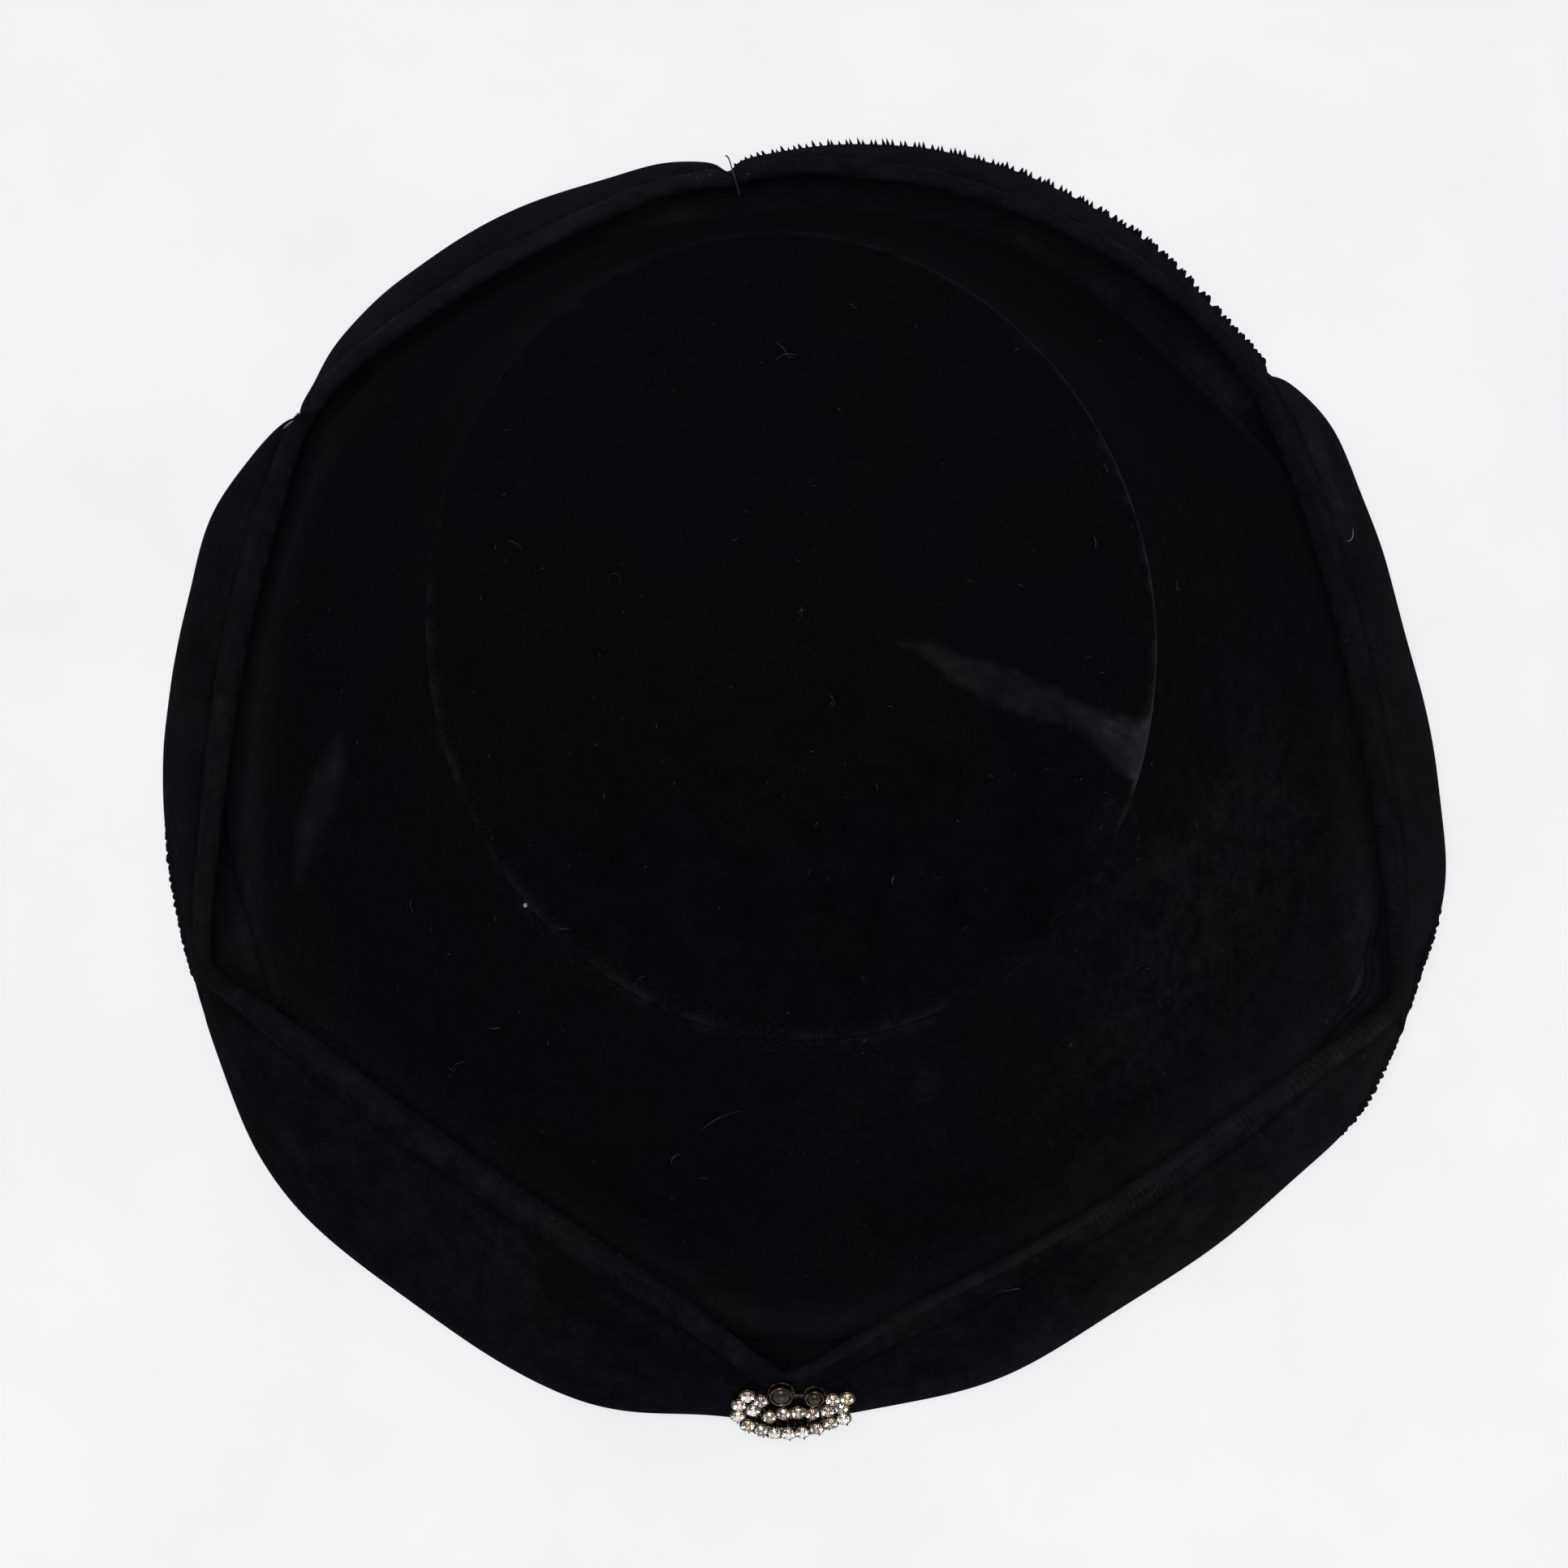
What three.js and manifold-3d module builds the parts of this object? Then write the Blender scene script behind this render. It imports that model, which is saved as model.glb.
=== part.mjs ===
// Velvet beret with a turned-up brim in six panels and a small stone brooch at the front notch.
// Millimetres, +Z up, the front of the hat towards -Y. Angles are degrees, counter-clockwise from +X.

import * as THREE from "three";
import { mergeVertices } from "three/addons/utils/BufferGeometryUtils.js";
import Module from "manifold-3d";

const wasm = await Module();
wasm.setup();

// Cloth
const VELVET = 2; // one layer of velvet on its backing
const DOUBLED = 3; // the two layers of a turned-up panel
const GAP = 0.3; // between neighbouring pieces

// Crown
const TIP_HEIGHT = 84; // height of the seam round the tip
const TIP_LONG = 87; // half length of the tip's oval
const TIP_SHORT = 74.2; // half width of the tip's oval
const TIP_TURN = 7; // the oval's long axis leans this far to the left of straight back
const TIP_CENTRE = [-2.6, 4.7];
const TIP_DOME = 4; // rise of the tip above its seam
const SIDE_SAG = 2.5; // how far the side hangs in below a straight line
const RIM_ROLL = 5.8; // outer radius of the soft fold at the rim

// Under part and head opening
const UNDER_HEIGHT = DOUBLED + GAP; // the under part lies on the roots of the panels
const HEAD_LONG = 95; // half length of the head opening
const HEAD_SHORT = 82.5; // half width of the head opening
const HEM_HEIGHT = 12; // turned hem round the head opening
const HEM_BEND = 3;

// Turned-up panels
const ROOT_RADIUS = 111; // where the panels start under the brim
const BASE_HEIGHT = 11; // height of the widest line of a panel
const BASE_TURN = 11.5; // how far the flat bottom stays in from the widest line
const EDGE_SET = 1; // the fold's middle lies this far outside its inner line
const CREASE_DEPTH = 0.8; // the stitched line under the rolled edge
const NOTCH_HALF = 0.2; // degrees cut from each panel at a notch
const CORNER = 0.3; // part of a panel's half length over which its edge drops to the notch

// Widest radius of the crown's folded rim, at stations round the hat
const RIM = [
  { angle: -90, radius: 129.5 },
  { angle: -45, radius: 129 },
  { angle: -18, radius: 131 },
  { angle: 12, radius: 129 },
  { angle: 43, radius: 126.3 },
  { angle: 80, radius: 132.6 },
  { angle: 98, radius: 130.8 },
  { angle: 145, radius: 131.6 },
  { angle: 195, radius: 126.5 },
  { angle: 230, radius: 125.5 },
];

// Panels: their end angles, and at start, middle and end the widest radius, the edge's radius and height
const PANELS = [
  { name: "cuff_front_right", from: -91.5, to: -25.8, base: [147.8, 141.3, 143.6], edge: [140.2, 122.4, 139.4],
    height: [26, 38, 33] },
  { name: "cuff_right", from: -25.8, to: 39.6, base: [143.6, 139, 138.8], edge: [139.4, 117.9, 127.6],
    height: [33, 38, 34] },
  { name: "cuff_back_right", from: 39.6, to: 97, base: [138.8, 146.8, 141], edge: [127.6, 128, 129.2],
    height: [34, 38, 34] },
  { name: "cuff_back_left", from: 97, to: 146, base: [141, 144.9, 140.7], edge: [129.2, 123.9, 130.4],
    height: [34, 38, 34] },
  { name: "cuff_left", from: 146, to: 203, base: [140.5, 140, 141.6], edge: [130.4, 121.3, 137.4],
    height: [34, 38, 33] },
  { name: "cuff_front_left", from: 203, to: 268.5, base: [141.6, 148.6, 147.8], edge: [137.4, 117.9, 140.2],
    height: [33, 38, 26] },
];

// Soft swells and hollows of the widest line
const SWELLS = [
  { angle: -98, spread: 6, out: -1.4 },
  { angle: -74, spread: 8, out: 1.6 },
  { angle: -60, spread: 10, out: -1.6 },
  { angle: -35, spread: 6, out: 2.4 },
  { angle: -13, spread: 7, out: 3 },
  { angle: 11, spread: 9, out: -2.6 },
  { angle: 33, spread: 6, out: 3.4 },
  { angle: 48, spread: 7, out: -2.8 },
  { angle: 61, spread: 8, out: -1.2 },
  { angle: 84, spread: 7, out: 1.1 },
  { angle: 103, spread: 5, out: 1.2 },
  { angle: 144, spread: 4, out: -2.6 },
  { angle: 157, spread: 6, out: 3.2 },
  { angle: 184, spread: 7, out: 0.4 },
  { angle: 219, spread: 8, out: 1.6 },
  { angle: 236, spread: 8, out: -1.6 },
  { angle: 254, spread: 8, out: 1.8 },
];

// Soft hollows, and ridges where the depth is negative, of the crown's side between tip and rim
const SIDE_FOLDS = [
  { angle: 174, spread: 9, part: 0.4, reach: 0.3, depth: 2.4 },
  { angle: 192, spread: 8, part: 0.55, reach: 0.3, depth: -1.4 },
  { angle: -38, spread: 12, part: 0.55, reach: 0.35, depth: 2.2 },
  { angle: -75, spread: 14, part: 0.5, reach: 0.35, depth: 1.4 },
  { angle: 62, spread: 14, part: 0.45, reach: 0.35, depth: 1.6 },
];

// Where the crease under the rolled edge deepens into a fold
const PANEL_FOLDS = [
  { angle: 256, spread: 8, depth: 2.2 },
  { angle: 207, spread: 5, depth: 0.8 },
  { angle: -35, spread: 6, depth: 0.8 },
];

// The tip's dent: a valley that opens from its inner end towards the seam
const DENT = { inner: [24, 4], outer: [72, -19], innerWidth: 4, outerWidth: 12, depth: 4.5 };

// Mesh fineness
const TIP_STEPS = 48;
const TIP_RINGS = 7;
const SIDE_STEPS = 52;
const UNDER_STEPS = 40;
const PANEL_STEPS = 12;

// Brooch, in its own plane: u to the right, v up, w out from the cloth
const BROOCH = { centre: [-2.5, -146.65, 23.1], lean: 40 };
const PLATE = 0.7;
const STONE = 1.35; // radius of a small stone
const STONE_SIDES = 8;
const CULET = 0.95; // height of a stone's point above the plate's back
const PAVILION = 1.25;
const GIRDLE = 0.12;
const TABLE_RISE = 0.45;
const TABLE_RADIUS = 0.85;
const COLLET_TOP = 1.8;
const COLLET_WALL = 0.3;
const COLLET_FOOT = 1.8; // radius of a collet where it joins the plate
const LINK_WIDTH = 1.2;
const PIN = { radius: 0.45, from: [-8.5, 3.6], to: [8.5, 3.6], depth: 1.1, foot: 1.4 };

// Rows of stones: each an arc through three points
const ROWS = [
  { stones: 7, from: [-9.0, -1.9], through: [-0.6, -4.1], to: [8.2, -1.2] },
  { stones: 4, from: [-4.5, 0.5], through: [-0.1, 1.5], to: [4.4, 1.3] },
];

// Stones of the two end fans
const FANS = [
  { u: -11.0, v: 0.7 }, { u: -10.7, v: 3.6 }, { u: -9.0, v: 6.0 }, { u: -7.9, v: 2.2 }, { u: -6.3, v: 4.7 },
  { u: 7.5, v: 2.0 }, { u: 10.3, v: 2.8 }, { u: 10.8, v: 0.0 }, { u: 8.5, v: 5.1 }, { u: 11.4, v: 5.4 },
];

// Round dark stones in plain bezels
const CABOCHONS = [
  { name: "cabochon_left", u: -2.1, v: 5.9, radius: 1.9, bezel: 2.5 },
  { name: "cabochon_right", u: 4.8, v: 5.3, radius: 1.5, bezel: 2.1 },
];
const CABOCHON_SIDES = 14;
const CABOCHON_FLOOR = 1.0;
const CABOCHON_WALL = 0.7; // its upright edge, below the dome
const CABOCHON_RISE = 1.1;
const BEZEL_TOP = 2.0;

// Plate bars between the rows, fans and bezels
const LINKS = [
  { from: [-6.2, -3.2], to: [-4.5, 0.5] },
  { from: [-0.4, -4.1], to: [-1.5, 1.2] },
  { from: [5.3, -2.4], to: [4.4, 1.3] },
  { from: [-9.0, -1.9], to: [-7.9, 2.2] },
  { from: [-7.9, 2.2], to: [-4.5, 0.5] },
  { from: [-2.1, 5.9], to: [-1.5, 1.2] },
  { from: [4.8, 5.3], to: [4.4, 1.3] },
  { from: [4.4, 1.3], to: [7.5, 2.0] },
];

const materials = {
  velvet: new THREE.MeshStandardMaterial({ color: 0x08080c, roughness: 0.95, metalness: 0 }),
  silver: new THREE.MeshStandardMaterial({ color: 0xc9c2b2, roughness: 0.3, metalness: 1 }),
  clear: new THREE.MeshStandardMaterial({ color: 0xf4f5f2, roughness: 0.05, metalness: 0 }),
  smoky: new THREE.MeshStandardMaterial({ color: 0x2b241e, roughness: 0.15, metalness: 0 }),
};

const rad = THREE.MathUtils.degToRad;
const lerp = THREE.MathUtils.lerp;

function at(angle, radius, z) {
  return [radius * Math.cos(rad(angle)), radius * Math.sin(rad(angle)), z];
}

// Distance from the hat's centre to an oval about its own centre, along a ray
function ovalRadius(angle, short, long, turn, centre) {
  const turned = rad(angle - turn);
  const dx = Math.cos(turned) / short;
  const dy = Math.sin(turned) / long;
  const back = rad(-turn);
  const cx = (centre[0] * Math.cos(back) - centre[1] * Math.sin(back)) / short;
  const cy = (centre[0] * Math.sin(back) + centre[1] * Math.cos(back)) / long;
  const a = dx * dx + dy * dy;
  const b = dx * cx + dy * cy;
  const c = cx * cx + cy * cy - 1;
  return (b + Math.sqrt(b * b - a * c)) / a;
}

function tipRadius(angle) {
  return ovalRadius(angle, TIP_SHORT, TIP_LONG, TIP_TURN, TIP_CENTRE);
}

function headRadius(angle) {
  return ovalRadius(angle, HEAD_SHORT, HEAD_LONG, 0, [0, 0]);
}

function smooth(x) {
  const t = THREE.MathUtils.clamp(x, 0, 1);
  return t * t * (3 - 2 * t);
}

function rimRadius(angle) {
  const first = RIM[0].angle;
  const turned = ((angle - first) % 360 + 360) % 360 + first;
  let index = RIM.length - 1;
  while (RIM[index].angle > turned) {
    index -= 1;
  }
  const here = RIM[index];
  const next = RIM[(index + 1) % RIM.length];
  const span = (index + 1 < RIM.length ? next.angle : next.angle + 360) - here.angle;
  return lerp(here.radius, next.radius, smooth((turned - here.angle) / span));
}

// Radius of a nearly straight line between a panel's two ends, bowed to pass its middle radius
function bowed(panel, radii, angle) {
  const [start, middle, end] = radii;
  const span = rad(panel.to - panel.from);
  const chord = (part) =>
    (start * end * Math.sin(span)) / (start * Math.sin(part * span) + end * Math.sin((1 - part) * span));
  const part = (angle - panel.from) / (panel.to - panel.from);
  return chord(part) + (middle - chord(0.5)) * 4 * part * (1 - part);
}

// One at a row's own angle, falling away on both sides
function nearness(row, angle) {
  const away = (((angle - row.angle) % 360) + 540) % 360 - 180;
  return Math.exp(-((away / row.spread) ** 2));
}

function swell(angle) {
  return SWELLS.reduce((out, row) => out + row.out * nearness(row, angle), 0);
}

function sideFold(angle, part) {
  return SIDE_FOLDS.reduce((depth, row) => {
    const along = Math.exp(-(((part - row.part) / row.reach) ** 2));
    return depth + row.depth * nearness(row, angle) * along;
  }, 0);
}

function creaseDepth(angle) {
  return CREASE_DEPTH + PANEL_FOLDS.reduce((depth, row) => depth + row.depth * nearness(row, angle), 0);
}

function edgeHeight(panel, angle) {
  const part = (angle - panel.from) / (panel.to - panel.from);
  const [start, middle, end] = panel.height;
  const near = part < 0.5 ? start : end;
  const outer = (Math.abs(2 * part - 1) - (1 - CORNER)) / CORNER;
  return lerp(middle, near, smooth(outer));
}

// Closed loop of [radius, height] points round a cloth's middle line, with a blunt nose at each end
function wallLoop(line, thickness) {
  const half = thickness / 2;
  const points = line.map((p) => new THREE.Vector2(...p));
  const normals = points.map((p, i) => {
    const before = points[Math.max(i - 1, 0)];
    const after = points[Math.min(i + 1, points.length - 1)];
    const along = after.clone().sub(before).normalize();
    return new THREE.Vector2(-along.y, along.x);
  });
  const left = points.map((p, i) => p.clone().addScaledVector(normals[i], half));
  const right = points.map((p, i) => p.clone().addScaledVector(normals[i], -half));
  const last = points.length - 1;
  const endAlong = new THREE.Vector2(normals[last].y, -normals[last].x);
  const startAlong = new THREE.Vector2(-normals[0].y, normals[0].x);
  const endNose = points[last].clone().addScaledVector(endAlong, half * 0.8);
  const startNose = points[0].clone().addScaledVector(startAlong, half * 0.8);
  return [...left, endNose, ...right.reverse(), startNose];
}

function geometryFrom(vertices, triangles) {
  const geometry = new THREE.BufferGeometry();
  geometry.setAttribute("position", new THREE.Float32BufferAttribute(vertices.flat(), 3));
  geometry.setIndex(triangles.flat());
  return geometry;
}

// Body through loops of equal count: a closed ring, or a strip with a flat cap at each end
function loft(loops, ring) {
  const count = loops[0].length;
  const vertices = loops.flat();
  const triangles = [];
  const steps = ring ? loops.length : loops.length - 1;
  for (let i = 0; i < steps; i += 1) {
    const here = i * count;
    const next = ((i + 1) % loops.length) * count;
    for (let j = 0; j < count; j += 1) {
      const k = (j + 1) % count;
      triangles.push([here + j, here + k, next + j], [here + k, next + k, next + j]);
    }
  }
  if (!ring) {
    triangles.push(...wallCap(0, count, false));
    triangles.push(...wallCap((loops.length - 1) * count, count, true));
  }
  return geometryFrom(vertices, triangles);
}

// End cap of a wall's loop, made of quads across its thickness
function wallCap(base, count, flip) {
  const nose = count / 2 - 1;
  const cap = [[nose - 1, nose + 1, nose], [0, count - 1, count - 2]];
  for (let i = 0; i < nose - 1; i += 1) {
    const across = count - 2 - i;
    cap.push([i, across, i + 1], [i + 1, across, across - 1]);
  }
  return cap.map(([a, b, c]) => (flip ? [base + a, base + c, base + b] : [base + a, base + b, base + c]));
}

function ringOf(steps, thickness, lineAt) {
  const loops = [];
  for (let i = 0; i < steps; i += 1) {
    const angle = (360 * i) / steps;
    loops.push(wallLoop(lineAt(angle), thickness).map((p) => at(angle, p.x, p.y)));
  }
  return loft(loops, true);
}

// Depth of the tip's dent at a place in plan
function dentDepth(x, y) {
  const [ix, iy] = DENT.inner;
  const axis = new THREE.Vector2(DENT.outer[0] - ix, DENT.outer[1] - iy);
  const length = axis.length();
  axis.normalize();
  const along = ((x - ix) * axis.x + (y - iy) * axis.y) / length;
  const across = (y - iy) * axis.x - (x - ix) * axis.y;
  const width = lerp(DENT.innerWidth, DENT.outerWidth, THREE.MathUtils.clamp(along, 0, 1));
  const fade = smooth(along / 0.3) * (1 - 0.75 * smooth((along - 0.75) / 0.25));
  return DENT.depth * fade * Math.exp(-((across / width) ** 2));
}

// Height of the tip's seam, lower where the dent reaches it
function seamHeight(angle) {
  const reach = tipRadius(angle);
  const depths = [reach, reach - VELVET].map((radius) => dentDepth(...at(angle, radius, 0)));
  return TIP_HEIGHT - Math.max(...depths);
}

function tipPoint(angle, part, drop) {
  const reach = tipRadius(angle);
  const centre = TIP_CENTRE;
  const [ex, ey] = at(angle, reach, 0);
  const x = lerp(centre[0], ex, part);
  const y = lerp(centre[1], ey, part);
  const dome = TIP_DOME * (1 - part ** 3);
  return [x, y, TIP_HEIGHT + dome - dentDepth(x, y) - drop];
}

function crownTip() {
  const rings = [];
  for (let k = 1; k <= TIP_RINGS; k += 1) {
    rings.push([k / TIP_RINGS, 0]);
  }
  for (let k = TIP_RINGS; k >= 1; k -= 1) {
    rings.push([k / TIP_RINGS, VELVET]);
  }
  const vertices = [tipPoint(0, 0, 0), tipPoint(0, 0, VELVET)];
  for (const [part, drop] of rings) {
    for (let i = 0; i < TIP_STEPS; i += 1) {
      vertices.push(tipPoint((360 * i) / TIP_STEPS, part, drop));
    }
  }
  const triangles = [];
  for (let i = 0; i < TIP_STEPS; i += 1) {
    const next = (i + 1) % TIP_STEPS;
    for (let k = 0; k < rings.length - 1; k += 1) {
      const here = 2 + k * TIP_STEPS;
      const outer = here + TIP_STEPS;
      triangles.push([here + i, outer + i, here + next], [here + next, outer + i, outer + next]);
    }
    const low = 2 + (rings.length - 1) * TIP_STEPS;
    triangles.push([0, 2 + i, 2 + next], [1, low + next, low + i]);
  }
  return geometryFrom(vertices, triangles);
}

// Middle line of the crown's side, from under the tip's seam to under the rim
function sideLine(angle) {
  const rollMid = RIM_ROLL - VELVET / 2;
  const rollRadius = rimRadius(angle) - RIM_ROLL;
  const rollHeight = UNDER_HEIGHT + VELVET / 2 + rollMid;
  const topRadius = tipRadius(angle) - VELVET / 2;
  const topHeight = seamHeight(angle) - VELVET - GAP - VELVET / 2;
  const slope = Math.atan2(rollRadius - topRadius, topHeight - rollHeight);
  const meetRadius = rollRadius + rollMid * Math.cos(slope);
  const meetHeight = rollHeight + rollMid * Math.sin(slope);
  const line = [];
  for (const part of [0, 0.25, 0.5, 0.75]) {
    const sag = (SIDE_SAG + sideFold(angle, part)) * Math.sin(Math.PI * part);
    line.push([
      lerp(topRadius, meetRadius, part) - sag * Math.cos(slope),
      lerp(topHeight, meetHeight, part) - sag * Math.sin(slope),
    ]);
  }
  for (const part of [0, 0.33, 0.67, 1]) {
    const turn = lerp(slope, -Math.PI / 2, part);
    line.push([rollRadius + rollMid * Math.cos(turn), rollHeight + rollMid * Math.sin(turn)]);
  }
  line.push([rollRadius - RIM_ROLL, UNDER_HEIGHT + VELVET / 2]);
  return line;
}

// Middle line of the under part, from the rim's fold in to the turned hem of the head opening
function underLine(angle) {
  const start = rimRadius(angle) - 2 * RIM_ROLL - VELVET - GAP;
  const head = headRadius(angle) + VELVET / 2;
  const middle = UNDER_HEIGHT + VELVET / 2;
  return [
    [start, middle],
    [lerp(start, head, 0.5), middle],
    [head + HEM_BEND, middle],
    [head + 0.3 * HEM_BEND, middle + 0.3 * HEM_BEND],
    [head, middle + HEM_BEND],
    [head, middle + HEM_HEIGHT],
  ];
}

// Middle line of a turned-up panel: flat root, round turn at the widest line, face, crease and fold
function panelLine(panel, angle) {
  const half = DOUBLED / 2;
  const widest = bowed(panel, panel.base, angle) + swell(angle) - half;
  const edge = bowed(panel, panel.edge, angle) + EDGE_SET;
  const height = edgeHeight(panel, angle) - half;
  const line = [[ROOT_RADIUS + half, half], [widest - BASE_TURN, half]];
  for (const turn of [32, 62, 90]) {
    line.push([
      widest - BASE_TURN * (1 - Math.sin(rad(turn))),
      BASE_HEIGHT - (BASE_HEIGHT - half) * Math.cos(rad(turn)),
    ]);
  }
  const knee = BASE_HEIGHT + 0.35 * (height - BASE_HEIGHT);
  const lean = Math.atan2(widest - edge, height - BASE_HEIGHT);
  const crease = creaseDepth(angle);
  for (const [part, share] of [[0.3, 0], [0.6, 0.2], [0.82, 1], [0.92, 0.1], [1, 0]]) {
    const radius = (1 - part) ** 2 * widest + 2 * part * (1 - part) * widest + part ** 2 * edge;
    const z = (1 - part) ** 2 * BASE_HEIGHT + 2 * part * (1 - part) * knee + part ** 2 * height;
    line.push([radius - share * crease * Math.cos(lean), z - share * crease * Math.sin(lean)]);
  }
  return line;
}

function panelBody(panel) {
  const loops = [];
  for (let i = 0; i <= PANEL_STEPS; i += 1) {
    const angle = lerp(panel.from + NOTCH_HALF, panel.to - NOTCH_HALF, i / PANEL_STEPS);
    loops.push(wallLoop(panelLine(panel, angle), DOUBLED).map((p) => at(angle, p.x, p.y)));
  }
  return loft(loops, false);
}

// A plain geometry as a solid that can be joined and cut
function solidFrom(geometry) {
  const plain = geometry.clone();
  plain.deleteAttribute("normal");
  plain.deleteAttribute("uv");
  const merged = mergeVertices(plain, 1e-4);
  return new wasm.Manifold(new wasm.Mesh({
    numProp: 3,
    vertProperties: Float32Array.from(merged.attributes.position.array),
    triVerts: Uint32Array.from(merged.index.array),
  }));
}

function geometryOf(solid) {
  const mesh = solid.getMesh();
  const geometry = new THREE.BufferGeometry();
  geometry.setAttribute("position", new THREE.Float32BufferAttribute(mesh.vertProperties, 3));
  geometry.setIndex(Array.from(mesh.triVerts));
  return geometry;
}

// Upright frustum in the brooch's plane
function post(u, v, low, high, lowRadius, highRadius, sides) {
  const geometry = new THREE.CylinderGeometry(highRadius, lowRadius, high - low, sides);
  geometry.rotateX(Math.PI / 2);
  geometry.translate(u, v, (low + high) / 2);
  return geometry;
}

function bar(from, to, width, low, high) {
  const length = Math.hypot(to[0] - from[0], to[1] - from[1]);
  const geometry = new THREE.BoxGeometry(length, width, high - low);
  geometry.rotateZ(Math.atan2(to[1] - from[1], to[0] - from[0]));
  geometry.translate((from[0] + to[0]) / 2, (from[1] + to[1]) / 2, (low + high) / 2);
  return geometry;
}

// Places along an arc that passes three points
function arcPlaces(row) {
  const places = [];
  for (let i = 0; i < row.stones; i += 1) {
    const part = i / (row.stones - 1);
    const bow = 4 * part * (1 - part);
    places.push([0, 1].map((axis) => {
      const middle = (row.from[axis] + row.to[axis]) / 2;
      return lerp(row.from[axis], row.to[axis], part) + (row.through[axis] - middle) * bow;
    }));
  }
  return places;
}

const stonePlaces = [...ROWS.flatMap(arcPlaces), ...FANS.map((row) => [row.u, row.v])];

function broochSetting() {
  const metal = [];
  const sockets = [];
  const girdleHeight = CULET + PAVILION;
  const slope = STONE / PAVILION;
  const socketTop = (COLLET_TOP - CULET) * slope + GAP * Math.hypot(1, slope);
  for (const [u, v] of stonePlaces) {
    metal.push(post(u, v, 0, COLLET_TOP, COLLET_FOOT, socketTop + COLLET_WALL, STONE_SIDES));
    const reach = socketTop + (girdleHeight - COLLET_TOP) * slope;
    const depth = reach / slope;
    sockets.push(post(u, v, girdleHeight - depth, girdleHeight, 0, reach, STONE_SIDES));
  }
  for (const row of CABOCHONS) {
    metal.push(post(row.u, row.v, 0, BEZEL_TOP, row.bezel, row.bezel, CABOCHON_SIDES));
    const inside = row.radius + GAP;
    sockets.push(post(row.u, row.v, CABOCHON_FLOOR - GAP, BEZEL_TOP + 1, inside, inside, CABOCHON_SIDES));
  }
  for (const link of LINKS) {
    metal.push(bar(link.from, link.to, LINK_WIDTH, 0, PLATE));
  }
  let solid = solidFrom(metal[0]);
  for (const geometry of metal.slice(1)) {
    solid = solid.add(solidFrom(geometry));
  }
  for (const geometry of sockets) {
    solid = solid.subtract(solidFrom(geometry));
  }
  return geometryOf(solid);
}

// Brilliant: pointed pavilion, thin girdle, eight crown facets and a flat table
function stoneBody(u, v) {
  const girdle = CULET + PAVILION;
  const profile = [[0, CULET], [STONE, girdle], [STONE, girdle + GIRDLE],
    [TABLE_RADIUS, girdle + GIRDLE + TABLE_RISE], [0, girdle + GIRDLE + TABLE_RISE]];
  return turned(profile, STONE_SIDES, u, v);
}

function cabochonBody(row) {
  const shoulder = CABOCHON_FLOOR + CABOCHON_WALL;
  const profile = [[0, CABOCHON_FLOOR], [row.radius, CABOCHON_FLOOR], [row.radius, shoulder]];
  for (const turn of [30, 60]) {
    profile.push([row.radius * Math.cos(rad(turn)), shoulder + CABOCHON_RISE * Math.sin(rad(turn))]);
  }
  profile.push([0, shoulder + CABOCHON_RISE]);
  return turned(profile, CABOCHON_SIDES, row.u, row.v);
}

function turned(profile, sides, u, v) {
  const geometry = new THREE.LatheGeometry(profile.map((p) => new THREE.Vector2(...p)), sides);
  geometry.rotateX(Math.PI / 2);
  geometry.translate(u, v, 0);
  return geometryOf(solidFrom(geometry));
}

// One plain pin with a foot at each end, behind the plate
function broochPin() {
  const { radius, from, to, depth, foot } = PIN;
  const length = to[0] - from[0];
  const rod = new THREE.CylinderGeometry(radius, radius, length, 8);
  rod.rotateZ(Math.PI / 2);
  rod.translate((from[0] + to[0]) / 2, from[1], -depth);
  let solid = solidFrom(rod);
  for (const end of [from, to]) {
    const block = new THREE.BoxGeometry(foot, foot, depth - GAP);
    block.translate(end[0], end[1], -(depth + GAP) / 2);
    solid = solid.add(solidFrom(block));
  }
  return geometryOf(solid);
}

function named(name, geometry, material) {
  const mesh = new THREE.Mesh(geometry, material);
  mesh.name = name;
  return mesh;
}

function crown() {
  const group = new THREE.Group();
  group.add(named("crown_tip", crownTip(), materials.velvet));
  group.add(named("crown_side", ringOf(SIDE_STEPS, VELVET, sideLine), materials.velvet));
  group.add(named("underbrim", ringOf(UNDER_STEPS, VELVET, underLine), materials.velvet));
  return group;
}

function brim() {
  const group = new THREE.Group();
  for (const panel of PANELS) {
    group.add(named(panel.name, panelBody(panel), materials.velvet));
  }
  return group;
}

function brooch() {
  const group = new THREE.Group();
  group.add(named("brooch_setting", broochSetting(), materials.silver));
  group.add(named("brooch_pin", broochPin(), materials.silver));
  stonePlaces.forEach(([u, v], index) => {
    const name = `stone_${String(index + 1).padStart(2, "0")}`;
    group.add(named(name, stoneBody(u, v), materials.clear));
  });
  for (const row of CABOCHONS) {
    group.add(named(row.name, cabochonBody(row), materials.smoky));
  }
  group.position.set(...BROOCH.centre);
  group.rotation.x = rad(90 - BROOCH.lean);
  return group;
}

const hat = new THREE.Group();
hat.add(crown(), brim(), brooch());

// The origin is the middle of the box's bottom
hat.updateMatrixWorld(true);
const box = new THREE.Box3().setFromObject(hat, true);
hat.position.set(-(box.min.x + box.max.x) / 2, -(box.min.y + box.max.y) / 2, -box.min.z);

export default hat;
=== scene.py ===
"""Looks of a velvet beret with a turned-up brim in six panels and a small stone brooch.

Sizes are millimetres in the hat's own frame: its centre is the middle of the head opening, its front
faces -Y. Angles are degrees, counter-clockwise from +X. Meshes are moved into the frame in metres.
"""

import math
import random

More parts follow.
